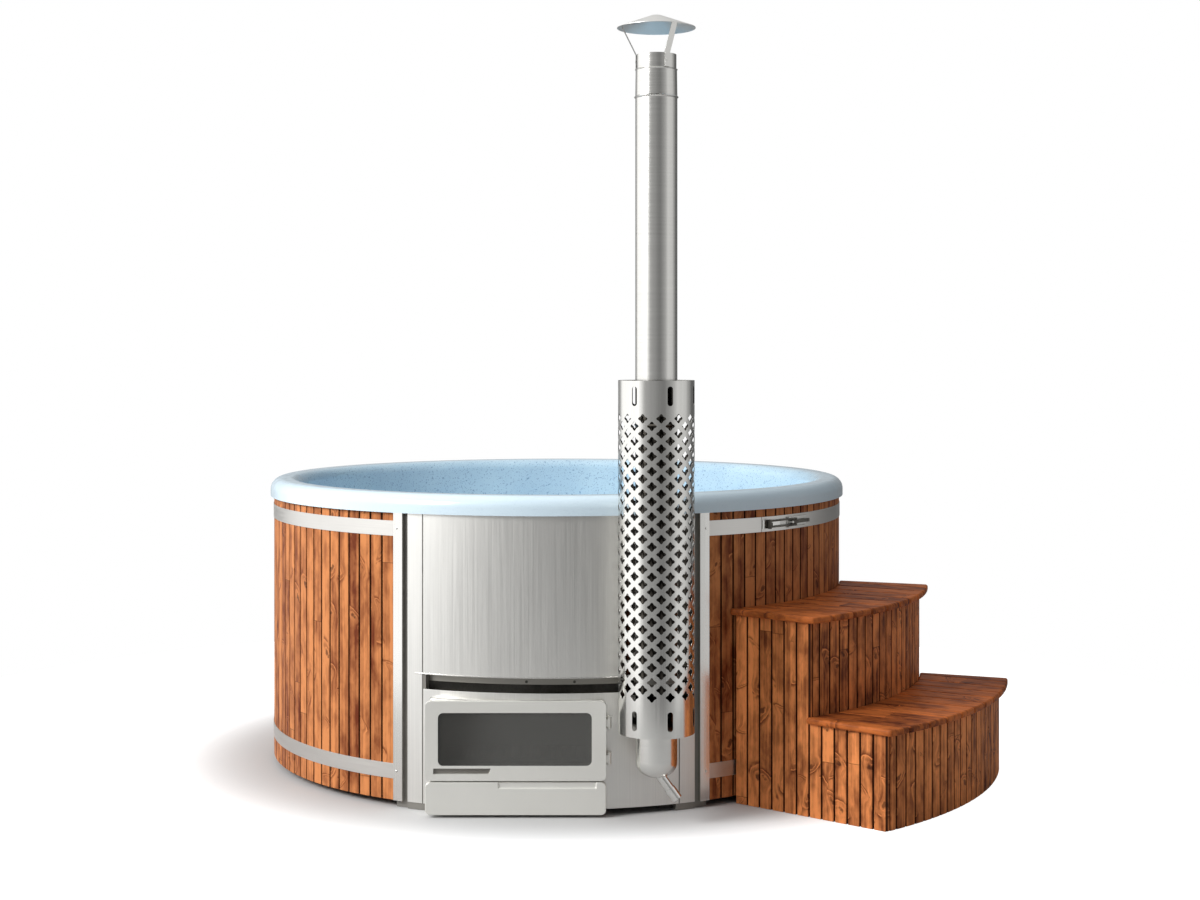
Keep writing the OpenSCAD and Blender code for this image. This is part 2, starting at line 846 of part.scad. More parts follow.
module door_frame() {
    color(steel)
        difference() {
            union() {
                front_plate(door_x, door_mid_z, door_w, door_h, corner_r, door_face, door_back);
                for (z = hinge_z)
                    translate([0, 0, z - knuckle_h / 2]) {
                        translate([hinge_x, hinge_y, 0]) cylinder(h = knuckle_h, r = knuckle_r, $fn = fn_small);
                        box(door_right - knuckle_r, hinge_x, hinge_y - knuckle_r, hinge_y, 0, knuckle_h);
                    }
            }
            front_plate(window_mid_x, window_mid_z, window_w, window_h, corner_r,
                door_face - cut, door_back + cut);
            front_plate(window_mid_x, window_mid_z, window_w + 2 * (glass_lap + seat),
                window_h + 2 * (glass_lap + seat), corner_r, glass_y, door_back + cut);
            gasket_ring(door_back - gasket_t, door_back + cut);
            pull_pocket(door_face - cut, door_face + pull_depth);
            for (z = hinge_z)
                translate([hinge_x, hinge_y, z - knuckle_h])
                    cylinder(h = 2 * knuckle_h, r = pin_r + run_fit, $fn = fn_small);
        }
}

module door_glass() {
    color(smoked_glass)
        front_plate(window_mid_x, window_mid_z, window_w + 2 * glass_lap, window_h + 2 * glass_lap,
            corner_r, glass_y, glass_y + glass_t);
}

module glass_retainer() {
    color(iron)
        difference() {
            front_plate(window_mid_x, window_mid_z, window_w + 2 * glass_lap, window_h + 2 * glass_lap,
                corner_r, retainer_y, retainer_y + retainer_t);
            front_plate(window_mid_x, window_mid_z, window_w, window_h, corner_r,
                retainer_y - cut, retainer_y + retainer_t + cut);
        }
}

module door_gasket() { color(dark) gasket_ring(door_back - gasket_t, door_back); }

module door_handle() {
    color(iron) pull_pocket(door_face + pull_depth - pull_plate_t, door_face + pull_depth);
}

lip_pull_shift = 91.5;
lip_pull_w = 283;
lip_pull_h = 17;
lip_pull_depth = 5;
tray_clear = 1.5;
tray_t = 1.5;
tray_drop = 12;

module ash_drawer_front() {
    color(steel)
        difference() {
            front_plate(door_x, drawer_gap + drawer_h / 2, door_w, drawer_h, corner_r, door_face, door_back);
            box(door_x + lip_pull_shift - lip_pull_w / 2, door_x + lip_pull_shift + lip_pull_w / 2,
                door_face - cut, door_face + lip_pull_depth, drawer_top - lip_pull_h, drawer_top + cut);
        }
}

module ash_tray() {
    color(iron)
        difference() {
            box(ash_x0 + tray_clear, ash_x1 - tray_clear, door_back, ash_back - ash_wall - tray_clear,
                ash_floor + seat, ash_top - tray_drop);
            box(ash_x0 + tray_clear + tray_t, ash_x1 - tray_clear - tray_t, door_back + tray_t,
                ash_back - ash_wall - tray_clear - tray_t, ash_floor + seat + tray_t, ash_top);
        }
}

// Chimney
branch_len = 90;

module flue_stub() {
    color(iron) outwards(chimney_angle, flue_z) tube(pipe_r, pipe_t, flue_in_r, chimney_r - branch_len);
}

module chimney_tee() {
    color(steel)
        difference() {
            union() {
                at_chimney() translate([0, 0, tee_bottom]) cylinder(h = tee_top - tee_bottom, r = pipe_r);
                flue_hole(pipe_r, chimney_r - branch_len, chimney_r);
            }
            at_chimney() translate([0, 0, tee_bottom - cut])
                cylinder(h = tee_top - tee_bottom + 2 * cut, r = pipe_r - pipe_t);
            flue_hole(pipe_r - pipe_t, chimney_r - branch_len - cut, chimney_r);
        }
}

function dome(r, depth, z) = [for (i = [0:arc_steps]) let(a = 90 * i / arc_steps)
    [r * sin(a), z + depth * (1 - cos(a))]];

spout_angle = 36;
spout_x = 7;
spout_rise = 11;
spout_z = tee_cap_bottom + spout_rise;
spout_r = 14;
spout_wall = 1.5;
spout_len = 51;
spout_cap_r = 16;
spout_cap_len = 37;

module spout_place() {
    translate([chimney_x + spout_x, chimney_y, spout_z]) rotate([0, 180 - spout_angle, 0]) children();
}

module tee_cap() {
    outer = dome(pipe_r, cap_dome, tee_cap_bottom);
    inner = dome(pipe_r - pipe_t, cap_dome - pipe_t, tee_cap_bottom + pipe_t);
    color(steel)
        difference() {
            at_chimney()
                rotate_extrude()
                    polygon(concat(outer, [[pipe_r, tee_bottom], [pipe_r - pipe_t, tee_bottom]],
                        [for (i = [arc_steps:-1:0]) inner[i]]));
            spout_place() cylinder(h = spout_len, r = spout_r, $fn = fn_small);
        }
}

module condensate_spout() {
    color(steel)
        spout_place()
            difference() {
                cylinder(h = spout_len, r = spout_r, $fn = fn_small);
                translate([0, 0, -cut])
                    cylinder(h = spout_len + 2 * cut, r = spout_r - spout_wall, $fn = fn_small);
            }
}

module condensate_cap() {
    color(bright_steel)
        spout_place()
            translate([0, 0, spout_len]) cylinder(h = spout_cap_len, r = spout_cap_r, $fn = fn_small);
}

bead_h = 8;
bead_r = 3.5;

// A pipe length with a raised bead round its upper end
module pipe_length(z0, z1) {
    at_chimney()
        rotate_extrude()
            polygon([[pipe_r - pipe_t, z0], [pipe_r, z0], [pipe_r, z1 - bead_h], [pipe_r + bead_r, z1 - bead_h / 2],
                [pipe_r, z1], [pipe_r - pipe_t, z1]]);
}

module lower_pipe() { color(steel) pipe_length(tee_top, pipe_joint); }

module upper_pipe() { color(steel) pipe_length(pipe_joint, collar_z + bead_h); }

collar_step = 2.7;
collar_neck_r = pipe_r - collar_step;
collar_neck_h = 40;
collar_ring_z = pipe_top - collar_neck_h;
collar_ring_h = 5;
collar_ring_r = 1;

module top_collar() {
    color(steel)
        at_chimney()
            rotate_extrude()
                polygon([
                    [pipe_r - pipe_t, collar_z + bead_h], [pipe_r, collar_z + bead_h],
                    [pipe_r - collar_ring_r, collar_ring_z - collar_ring_h],
                    [pipe_r + collar_ring_r, collar_ring_z - collar_ring_h / 2],
                    [collar_neck_r, collar_ring_z], [collar_neck_r, pipe_top],
                    [collar_neck_r - pipe_t, pipe_top], [collar_neck_r - pipe_t, collar_ring_z - collar_ring_h]
                ]);
}

leg_w = 18;
leg_t = 1.5;
leg_angles = [60, 180, 300];
brim_z = pipe_top + cap_gap;
cap_t = 1.2;
cap_slope = cap_rise / cap_r;
leg_edge = 15;
leg_top_r = cap_r - leg_edge;
leg_top_z = brim_z + leg_edge * cap_slope - cap_t - seat;
leg_foot_r = collar_neck_r + seat;

module cap_legs() {
    color(steel)
        translate([chimney_x, chimney_y, 0])
            for (a = leg_angles)
                rotate([0, 0, a]) {
                    rotate([90, 0, 0]) translate([0, 0, -leg_w / 2]) linear_extrude(leg_w)
                        polygon([
                            [leg_foot_r, collar_ring_z + seat], [leg_foot_r + leg_t, collar_ring_z + seat],
                            [leg_foot_r + leg_t, pipe_top], [leg_top_r + leg_t, leg_top_z - leg_t],
                            [leg_top_r, leg_top_z], [leg_foot_r, pipe_top + leg_t]
                        ]);
                    translate([leg_foot_r + leg_t, 0, (collar_ring_z + pipe_top) / 2]) rotate([0, 90, 0])
                        cylinder(h = screw_head / 2, r = screw_r, $fn = fn_small);
                }
}

cap_button_r = 14;
cap_button_drop = cap_button_r * cap_slope / 2;
cap_top = brim_z + cap_rise;

module rain_cap() {
    color(steel)
        at_chimney()
            rotate_extrude()
                polygon([
                    [0, cap_top - cap_t], [cap_button_r, cap_top - cap_t - cap_button_drop],
                    [cap_r, brim_z - cap_t], [cap_r, brim_z],
                    [cap_button_r, cap_top - cap_button_drop], [0, cap_top]
                ]);
}

// Perforated heat shield
shield_t = 1.5;
shield_top = shield_bottom + shield_len;
shield_margin = 106;
shield_rows = 1 + floor(2 * (shield_len - 2 * shield_margin) / shield_row_pitch);
vent_w = 16.5;
vent_h = 55;
vent_end = 16;
vent_low = 20;
vent_count = 6;
vent_first = 7;
vent_step = 4;
hole_turn = 10;
flue_clear = 4;

module vents(z) {
    for (i = [0:vent_count - 1])
        rotate([0, 0, hole_turn + (vent_first + i * vent_step) * 360 / shield_columns])
            translate([shield_r / 2, 0, z]) {
                translate([0, -vent_w / 2, vent_w / 2]) cube([shield_r, vent_w, vent_h - vent_w]);
                for (end = [vent_w / 2, vent_h - vent_w / 2])
                    translate([0, 0, end]) rotate([0, 90, 0]) cylinder(h = shield_r, r = vent_w / 2, $fn = fn_small);
            }
}

module heat_shield() {
    color(bright_steel)
        at_chimney()
            difference() {
                rotate([0, 0, hole_turn + 180 / shield_columns])
                    tube(shield_r, shield_t, shield_bottom, shield_top);
                for (row = [0:shield_rows - 1], i = [0:shield_columns / 2 - 1])
                    rotate([0, 0, hole_turn + (2 * i + row % 2) * 360 / shield_columns])
                        translate([0, 0, shield_top - shield_margin - row * shield_row_pitch / 2])
                            rotate([45, 0, 0])
                                translate([shield_r / 2, -shield_hole / 2, -shield_hole / 2])
                                    cube([shield_r, shield_hole, shield_hole]);
                vents(shield_bottom + vent_low);
                vents(shield_top - vent_end - vent_h);
                translate([-pipe_r - flue_clear, pipe_r, 0])
                    cube([2 * (pipe_r + flue_clear), shield_r, flue_z + pipe_r + flue_clear]);
            }
}

clamp_h = 16;
clamp_t = 2;
spoke_w = 14;
spoke_t = 3;
spoke_count = 3;
spoke_turn = 30;
spider_drop = 30;
spider_z = [tee_top - spider_drop, shield_top - vent_end - vent_h - spider_drop];

module shield_brackets() {
    color(steel)
        at_chimney()
            for (z = spider_z)
                difference() {
                    union() {
                        translate([0, 0, z]) cylinder(h = clamp_h, r = pipe_r + seat + clamp_t);
                        for (i = [0:spoke_count - 1])
                            rotate([0, 0, spoke_turn + i * 360 / spoke_count])
                                translate([pipe_r, -spoke_w / 2, z])
                                    cube([shield_r - shield_t - pipe_r - seat, spoke_w, spoke_t]);
                    }
                    translate([0, 0, z - cut]) cylinder(h = clamp_h + 2 * cut, r = pipe_r + seat);
                }
}

// Tension latch on the upper band. The pins stand upright, and the lever lies along the band.
latch_z = upper_band_z;
plate_r = tongue_r + tongue_t;
latch_stand = 9;
latch_r = plate_r + latch_stand;
plate_t = 2;
flange_t = 2.5;
flange_gap = 27;
lug_t = 6;
lug_r = 6;
fork_t = 2;
fork_reach = 9.5;
lever_h = lug_t + 2 * (seat + fork_t);
lever_t = 6;
latch_pin_r = 2.5;
pin_end = 0.4;
latch_pin_h = lever_h + 2 * pin_end;
rod_r = 2.6;
rod_gap = 18;
bail_pin_h = rod_gap + 2 * (rod_r + pin_end);
bail_eye_r = 4.8;
crossbar_r = 6;
crossbar_h = 28;
// The lever and the bail lie along chords: the lever's far end and the bail's crossbar
// are as far from the tub's axis as the lever's pin.
lever_turn = asin((lever_len / 2) / latch_r);
bail_pin = [lever_throw * cos(lever_turn), latch_r - lever_throw * sin(lever_turn)];
bail_dip = (bail_pin * bail_pin + bail_len * bail_len - latch_r * latch_r) / (2 * norm(bail_pin) * bail_len);
bail_turn = lever_turn - atan2(bail_pin[0], bail_pin[1]) + asin(bail_dip);

module at_latch() {
    rotate([0, 0, latch_angle]) translate([0, -latch_r, latch_z]) rotate([0, 0, lever_turn]) children();
}

module at_bail() {
    at_latch() translate([lever_throw, 0, 0]) rotate([0, 0, -bail_turn]) children();
}

module latch_pivot() {
    color(bright_steel)
        at_latch() translate([0, 0, -latch_pin_h / 2]) cylinder(h = latch_pin_h, r = latch_pin_r, $fn = fn_small);
}

// The base is a plate with two flanges, and a lug that the forked lever straddles.
module latch_base() {
    color(steel)
        difference() {
            union() {
                sector(tongue_r, tongue_r + plate_t, base_a0, base_a1,
                    latch_z - flange_gap / 2 - flange_t, latch_z + flange_gap / 2 + flange_t);
                for (z = [latch_z - flange_gap / 2 - flange_t, latch_z + flange_gap / 2])
                    sector(tongue_r, latch_r, base_a0, base_a1, z, z + flange_t);
                at_latch() {
                    translate([-lug_r, 0, -lug_t / 2])
                        cube([2 * lug_r, latch_r - tongue_r - plate_t / 2, lug_t]);
                    translate([0, 0, -lug_t / 2]) cylinder(h = lug_t, r = lug_r, $fn = fn_small);
                }
            }
            at_latch() translate([0, 0, -latch_pin_h])
                cylinder(h = 2 * latch_pin_h, r = latch_pin_r + run_fit / 2, $fn = fn_small);
        }
}

module latch_lever() {
    color(bright_steel)
        at_latch()
            difference() {
                union() {
                    translate([0, -lever_t / 2, -lever_h / 2]) cube([lever_len, lever_t, lever_h]);
                    for (x = [0, lever_throw])
                        translate([x, 0, -lever_h / 2]) cylinder(h = lever_h, r = lug_r, $fn = fn_small);
                    translate([lever_len, 0, -lever_h / 2]) cylinder(h = lever_h, r = lever_t / 2, $fn = fn_small);
                    translate([lever_throw, 0, -bail_pin_h / 2])
                        cylinder(h = bail_pin_h, r = latch_pin_r, $fn = fn_small);
                }
                translate([0, 0, -lug_t / 2 - seat])
                    cylinder(h = lug_t + 2 * seat, r = fork_reach, $fn = fn_small);
                translate([0, 0, -lever_h]) cylinder(h = 2 * lever_h, r = latch_pin_r + run_fit, $fn = fn_small);
            }
}

module latch_bail() {
    color(bright_steel)
        at_bail()
            difference() {
                union() {
                    for (s = [-1, 1])
                        translate([0, 0, s * rod_gap / 2]) {
                            rotate([0, -90, 0]) cylinder(h = bail_len, r = rod_r, $fn = fn_small);
                            translate([0, 0, -rod_r]) cylinder(h = 2 * rod_r, r = bail_eye_r, $fn = fn_small);
                        }
                    translate([-bail_len, 0, -crossbar_h / 2])
                        cylinder(h = crossbar_h, r = crossbar_r, $fn = fn_small);
                }
                translate([0, 0, -rod_gap]) cylinder(h = 2 * rod_gap, r = latch_pin_r + run_fit, $fn = fn_small);
            }
}

keeper_t = 6;
keeper_h = 9;
keeper_plate_t = 1;
keeper_r = plate_r + seat;
keeper_angle = 5;
keeper_a1 = tongue_a0 + keeper_angle;

// The keeper is a block on the tongue, between the bail's rods. The crossbar lies behind it.
module latch_keeper() {
    color(steel) {
        sector(keeper_r, keeper_r + keeper_plate_t, tongue_a0 + seam_angle, keeper_a1,
            latch_z - flange_gap / 2, latch_z + flange_gap / 2);
        intersection() {
            at_bail()
                translate([crossbar_r + seat - bail_len, -2 * crossbar_r, -keeper_h / 2])
                    cube([keeper_t, 4 * crossbar_r, keeper_h]);
            sector(keeper_r, latch_r + crossbar_r, tongue_a0, tongue_a1, latch_z - keeper_h, latch_z + keeper_h);
        }
    }
}

// Stairs: u runs away from the tub, v across. Each side is a straight wall that opens outwards.
stair_back_r = band_r + band_t + seat;
stair_inner_v = stair_half_w - clad_t * cos(stair_flare);
stair_u0 = sqrt(pow(stair_back_r, 2) - pow(stair_inner_v, 2)) - clad_t * sin(stair_flare);
side_start = [stair_u0, stair_half_w];
side_dir = [cos(stair_flare), sin(stair_flare)];
upper_front_r = tub_r + upper_going;
lower_front_r = upper_front_r + lower_going;
function side_run(r) = let(along = side_start * side_dir)
    sqrt(along * along - side_start * side_start + r * r) - along;
upper_run = side_run(upper_front_r);
lower_run = side_run(lower_front_r);
upper_deck = 2 * step_rise - tread_t;
lower_deck = step_rise - tread_t;
tread_gap = 4;
tread_reach = 2;

module at_stairs() {
    rotate([0, 0, stair_angle - 90]) children();
}

// Plan of the space between the side walls, moved inwards by a distance
module stair_wedge(inset) {
    reach = lower_front_r * tread_reach;
    shift = inset / cos(stair_flare);
    back = stair_u0 / tread_reach;
    half_back = stair_half_w - (stair_u0 - back) * tan(stair_flare) - shift;
    half_far = stair_half_w + (reach - stair_u0) * tan(stair_flare) - shift;
    polygon([[back, -half_back], [reach, -half_far], [reach, half_far], [back, half_back]]);
}

module plan_ring(r_in, r_out) {
    difference() {
        circle(r = r_out);
        circle(r = r_in);
    }
}

module side_boards(run0, run1, z1) {
    count = round((run1 - run0) / stave_pitch);
    pitch = (run1 - run0) / count;
    for (i = [0:count - 1])
        translate(side_start) rotate([0, 0, stair_flare])
            translate([run0 + (i + 0.5) * pitch, 0, 0])
                linear_extrude(z1) polygon(board_section(pitch, clad_t, stave_groove));
}

module stair_side_boards() {
    color(stair_wood)
        at_stairs()
            for (side = [0, 1])
                mirror([0, side, 0]) {
                    side_boards(0, upper_run, upper_deck);
                    side_boards(upper_run, lower_run, lower_deck);
                }
}

module front_boards(r, z0, z1) {
    half = asin((stair_half_w + (side_run(r)) * sin(stair_flare)) / r);
    count = round(2 * half * PI / 180 * r / stave_pitch);
    step = 2 * half / count;
    for (i = [0:count - 1])
        translate([0, 0, z0])
            linear_extrude(z1 - z0)
                intersection() {
                    rotate([0, 0, -90 - half + (i + 0.5) * step]) translate([0, r])
                        polygon(board_section(2 * r * tan(step / 2), clad_t, stave_groove, step));
                    stair_wedge(clad_t + board_gap);
                }
}

module stair_front_boards() {
    color(stair_wood)
        at_stairs() {
            front_boards(lower_front_r, 0, lower_deck);
            front_boards(upper_front_r, lower_deck, upper_deck);
        }
}

module tread(r_in, r_out, z) {
    half = stair_half_w + (side_run(r_out)) * sin(stair_flare) + tread_side;
    count = ceil(2 * half / tread_board_w);
    for (i = [0:count - 1])
        translate([0, 0, z])
            linear_extrude(tread_t)
                intersection() {
                    plan_ring(r_in, r_out);
                    stair_wedge(-tread_side);
                    translate([stair_u0 / tread_reach, (i - count / 2) * tread_board_w + tread_gap / 2])
                        square([lower_front_r, tread_board_w - tread_gap]);
                }
}

module stair_treads() {
    color(stair_wood)
        at_stairs() {
            tread(tub_r + 2 * seat, upper_front_r + tread_nose, upper_deck);
            tread(upper_front_r + 2 * seat, lower_front_r + tread_nose, lower_deck);
        }
}

bearer_t = 22;
bearer_h = 45;

// An arc of timber just inside a row of front boards, or along the tub
module arc_bearer(r_in, r_out, z) {
    translate([0, 0, z])
        linear_extrude(bearer_h)
            intersection() {
                plan_ring(r_in, r_out);
                stair_wedge(clad_t + bearer_t + 2 * board_gap);
            }
}

module side_bearer(run0, run1, z) {
    translate(side_start) rotate([0, 0, stair_flare])
        translate([run0, -clad_t - board_gap - bearer_t, z]) cube([run1 - run0, bearer_t, bearer_h]);
}

module stair_frame() {
    color(frame_wood)
        at_stairs() {
            arc_bearer(stair_back_r, stair_back_r + bearer_t, upper_deck - bearer_h);
            arc_bearer(upper_front_r - clad_t - board_gap - bearer_t, upper_front_r - clad_t - board_gap,
                upper_deck - bearer_h);
            arc_bearer(upper_front_r - clad_t - board_gap - bearer_t, upper_front_r - clad_t - board_gap,
                lower_deck);
            arc_bearer(lower_front_r - clad_t - board_gap - bearer_t, lower_front_r - clad_t - board_gap,
                lower_deck - bearer_h);
            arc_bearer(lower_front_r - clad_t - board_gap - bearer_t, lower_front_r - clad_t - board_gap, 0);
            for (side = [0, 1])
                mirror([0, side, 0]) {
                    side_bearer(bearer_t, upper_run - bearer_t - clad_t, upper_deck - bearer_h);
                    side_bearer(upper_run, lower_run - bearer_t - clad_t, lower_deck - bearer_h);
                    side_bearer(bearer_t, lower_run - bearer_t - clad_t, 0);
                }
        }
}

base_beams();
liner();
drain_fitting();
drain_plug();
drain_pipe();
staves_left();
staves_back();
staves_right();
upper_backing_ring();
lower_backing_ring();
upper_band();
lower_band();
band_screws();
left_post();
right_post();
left_side_strip();
right_side_strip();
front_rails();
upper_front_sheet();
lower_front_sheet();
slot_plate();
slot_ledge();
slot_screws();
stove_neck();
heater_body();
ash_box();
stove_feet();
fire_grate();
water_ports();
port_grilles();
hinge_brackets();
hinge_pins();
door_frame();
door_glass();
glass_retainer();
door_gasket();
door_handle();
ash_drawer_front();
ash_tray();
flue_stub();
chimney_tee();
tee_cap();
condensate_spout();
condensate_cap();
lower_pipe();
upper_pipe();
top_collar();
cap_legs();
rain_cap();
heat_shield();
shield_brackets();
latch_keeper();
latch_base();
latch_pivot();
latch_lever();
latch_bail();
stair_side_boards();
stair_front_boards();
stair_treads();
stair_frame();
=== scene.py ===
"""The looks of a wood-fired hot tub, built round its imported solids."""

import json
import math
import random

import bpy
import numpy as np
from mathutils import Matrix, Vector

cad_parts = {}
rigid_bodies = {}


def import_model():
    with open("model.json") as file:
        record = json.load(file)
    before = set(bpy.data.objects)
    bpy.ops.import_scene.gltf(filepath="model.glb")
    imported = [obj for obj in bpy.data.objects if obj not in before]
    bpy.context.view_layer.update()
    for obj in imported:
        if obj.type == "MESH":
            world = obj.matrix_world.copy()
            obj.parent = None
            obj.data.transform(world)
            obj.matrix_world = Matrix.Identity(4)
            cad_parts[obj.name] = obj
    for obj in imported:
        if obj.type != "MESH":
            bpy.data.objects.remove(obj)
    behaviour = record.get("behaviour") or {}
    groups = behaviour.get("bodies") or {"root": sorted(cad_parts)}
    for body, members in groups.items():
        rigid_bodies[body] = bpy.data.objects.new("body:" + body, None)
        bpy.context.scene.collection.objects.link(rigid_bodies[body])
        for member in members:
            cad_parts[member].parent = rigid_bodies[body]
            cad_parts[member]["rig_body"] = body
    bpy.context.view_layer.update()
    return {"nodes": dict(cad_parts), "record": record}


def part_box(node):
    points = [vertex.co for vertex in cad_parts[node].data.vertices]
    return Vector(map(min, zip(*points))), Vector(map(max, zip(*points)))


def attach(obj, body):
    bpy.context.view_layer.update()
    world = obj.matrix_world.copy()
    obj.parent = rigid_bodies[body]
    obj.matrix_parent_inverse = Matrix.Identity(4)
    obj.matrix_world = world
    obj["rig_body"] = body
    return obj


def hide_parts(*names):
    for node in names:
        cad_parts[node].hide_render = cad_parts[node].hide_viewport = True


bl_info = {
    "name": "Wood-fired hot tub",
    "version": (1, 0, 0),
    "blender": (4, 5, 0),
    "location": "3D View > Sidebar > Hot tub",
    "description": "Stained boards, brushed steel, shell, stove, chimney and stairs of a hot tub",
    "category": "Object",
}

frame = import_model()
SLOT_OF = {s["node"]: s["material_slot"] for s in frame["record"]["subparts"]}

MM = 0.001
UP = Vector((0, 0, 1))

# the stairs' middle in degrees to the right of the front, and the core that their boards face away from
STAIR_OFF_FRONT = 59
STAIR_TURN = math.radians(-90 + STAIR_OFF_FRONT)
STAIR_OUT = Vector((math.cos(STAIR_TURN), math.sin(STAIR_TURN), 0))
STAIR_CORE = STAIR_OUT * 1.15 + UP * 0.2

# how far the corners of hard parts are rounded
STOVE_EDGE, FITTING_EDGE, SCREW_EDGE = 0.6 * MM, 0.5 * MM, 0.4 * MM


def tone(red, green, blue):
    """A colour given 0 to 255, as the linear values that Blender keeps."""
    return tuple(
        c / 12.92 if c <= 0.04045 else ((c + 0.055) / 1.055) ** 2.4
        for c in (red / 255, green / 255, blue / 255)
    )


def opaque(colour, share=1.0):
    """A colour as four numbers, made lighter or darker by a share."""
    return tuple(min(1.0, c * share) for c in colour[:3]) + (1.0,)


def colour_setting(label, about, *rgb):
    return bpy.props.FloatVectorProperty(
        name=label, description=about, subtype="COLOR", size=3, min=0, max=1, default=tone(*rgb)
    )


def length_setting(label, about, metres):
    return bpy.props.FloatProperty(name=label, description=about, unit="LENGTH", min=0, default=metres)


SHIELD_LOW, SHIELD_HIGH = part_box("heat_shield")
SHIELD_R = (SHIELD_HIGH.x - SHIELD_LOW.x) / 2
CHIMNEY_FOOT = ((SHIELD_LOW.x + SHIELD_HIGH.x) / 2, (SHIELD_LOW.y + SHIELD_HIGH.y) / 2, 0.0)


class HotTubFinishes(bpy.types.PropertyGroup):
    """Colours of the tub's boards, steel and shell."""

    wall_light: colour_setting("Wall, light", "Pale wood between the grain of the wall", 214, 138, 84)
    wall_dark: colour_setting("Wall, dark", "Stained grain of the wall", 104, 44, 18)
    stair_light: colour_setting("Stairs, light", "Pale wood between the grain of the stairs", 248, 154, 90)
    stair_dark: colour_setting("Stairs, dark", "Stained grain of the stairs", 84, 32, 12)
    knot: colour_setting("Knots", "Heart of a knot", 52, 22, 10)
    shell: colour_setting("Shell", "Pale blue of the shell and its rim", 220, 239, 250)
    speck: colour_setting("Shell specks", "Specks inside the shell", 96, 146, 190)
    steel: colour_setting("Steel", "Brushed sheets, bands and posts", 228, 227, 223)
    door_steel: colour_setting("Door steel", "Painted satin of the door and drawer", 234, 233, 227)


class HotTubSizes(bpy.types.PropertyGroup):
    """Sizes of the shield's holes and of eased edges."""

    shield_radius: length_setting("Shield radius", "Outside of the perforated tube", SHIELD_R)
    shield_bottom: length_setting("Shield bottom", "Height of its lower edge", SHIELD_LOW.z)
    shield_top: length_setting("Shield top", "Height of its upper edge", SHIELD_HIGH.z)
    shield_wall: length_setting("Shield wall", "Thickness of the perforated sheet", 1.5 * MM)
    hole_radius: length_setting("Hole reach", "From a hole's middle to its side corner", 14.4 * MM)
    row_pitch: length_setting("Row pitch", "Upright distance between two staggered rows", 21.05 * MM)
    board_edge: length_setting("Board edges", "Rounding of a board's corners", 1.2 * MM)
    tread_edge: length_setting("Tread edges", "Rounding of a tread's nose", 7 * MM)
    sheet_edge: length_setting("Sheet edges", "Rounding of thin steel", 0.5 * MM)
    plate_edge: length_setting("Plate edges", "Rounding of the door and drawer", 2.5 * MM)


# Shader nodes


def feed(tree, node, inputs):
    """Gives a node's inputs their values, or links them to the sockets given."""
    for key, value in dict(inputs).items():
        if isinstance(value, bpy.types.NodeSocket):
            tree.links.new(value, node.inputs[key])
        else:
            node.inputs[key].default_value = value


def shader(tree, kind, inputs=(), **settings):
    """Adds a shader node, sets its options and feeds its inputs."""
    made = tree.nodes.new("ShaderNode" + kind)
    for key, value in settings.items():
        setattr(made, key, value)
    feed(tree, made, inputs)
    return made


def calc(tree, operation, first, second=0.0, third=0.0):
    return shader(tree, "Math", {0: first, 1: second, 2: third}, operation=operation).outputs[0]


def product(tree, first, *others):
    """Multiplies two or more values, one after the other."""
    for other in others:
        first = calc(tree, "MULTIPLY", first, other)
    return first


def spread(tree, value, low, high, to_low=0.0, to_high=1.0):
    """Turns low..high into to_low..to_high with soft ends."""
    ends = {0: value, 1: low, 2: high, 3: to_low, 4: to_high}
    return shader(tree, "MapRange", ends, interpolation_type="SMOOTHSTEP").outputs[0]


def tint(tree, share, first, second):
    """Blends two colours. A share of 1 gives the second."""
    return shader(tree, "Mix", {0: share, 6: first, 7: second}, data_type="RGBA").outputs[2]


def noise(tree, place, scale, detail=2.0, rough=0.5):
    return shader(
        tree, "TexNoise", {"Vector": place, "Scale": scale, "Detail": detail, "Roughness": rough}
    ).outputs[0]


def stretched(tree, place, x, y, z):
    return shader(tree, "VectorMath", {0: place, 1: (x, y, z)}, operation="MULTIPLY").outputs[0]


def off_axis(tree, place):
    """How far a place lies from the upright axis."""
    level = stretched(tree, place, 1.0, 1.0, 0.0)
    return shader(tree, "VectorMath", {0: level}, operation="LENGTH").outputs["Value"]


def effect(name, inputs, outputs):
    """A node group with named inputs and outputs, and its two end nodes."""
    group = bpy.data.node_groups.new(name, "ShaderNodeTree")
    for label, kind, value in inputs:
        socket = group.interface.new_socket(label, in_out="INPUT", socket_type="NodeSocket" + kind)
        if value is not None:
            socket.default_value = value
    for label, kind in outputs:
        group.interface.new_socket(label, in_out="OUTPUT", socket_type="NodeSocket" + kind)
    return group, group.nodes.new("NodeGroupInput"), group.nodes.new("NodeGroupOutput")


def pieced_board(tree, first, length):
    """A board may be pieced from two lengths. Past the joint it has another shade and other knots."""
    lot_factor, joint_range, second_shift = 13.7, 1.6, 0.43
    lot = calc(tree, "FRACT", product(tree, first, lot_factor))
    joint = product(tree, calc(tree, "SUBTRACT", lot, 0.5), joint_range)
    past = calc(tree, "GREATER_THAN", length, joint)
    board = calc(tree, "FRACT", calc(tree, "MULTIPLY_ADD", past, second_shift, first))
    return board, calc(tree, "ABSOLUTE", calc(tree, "SUBTRACT", length, joint))


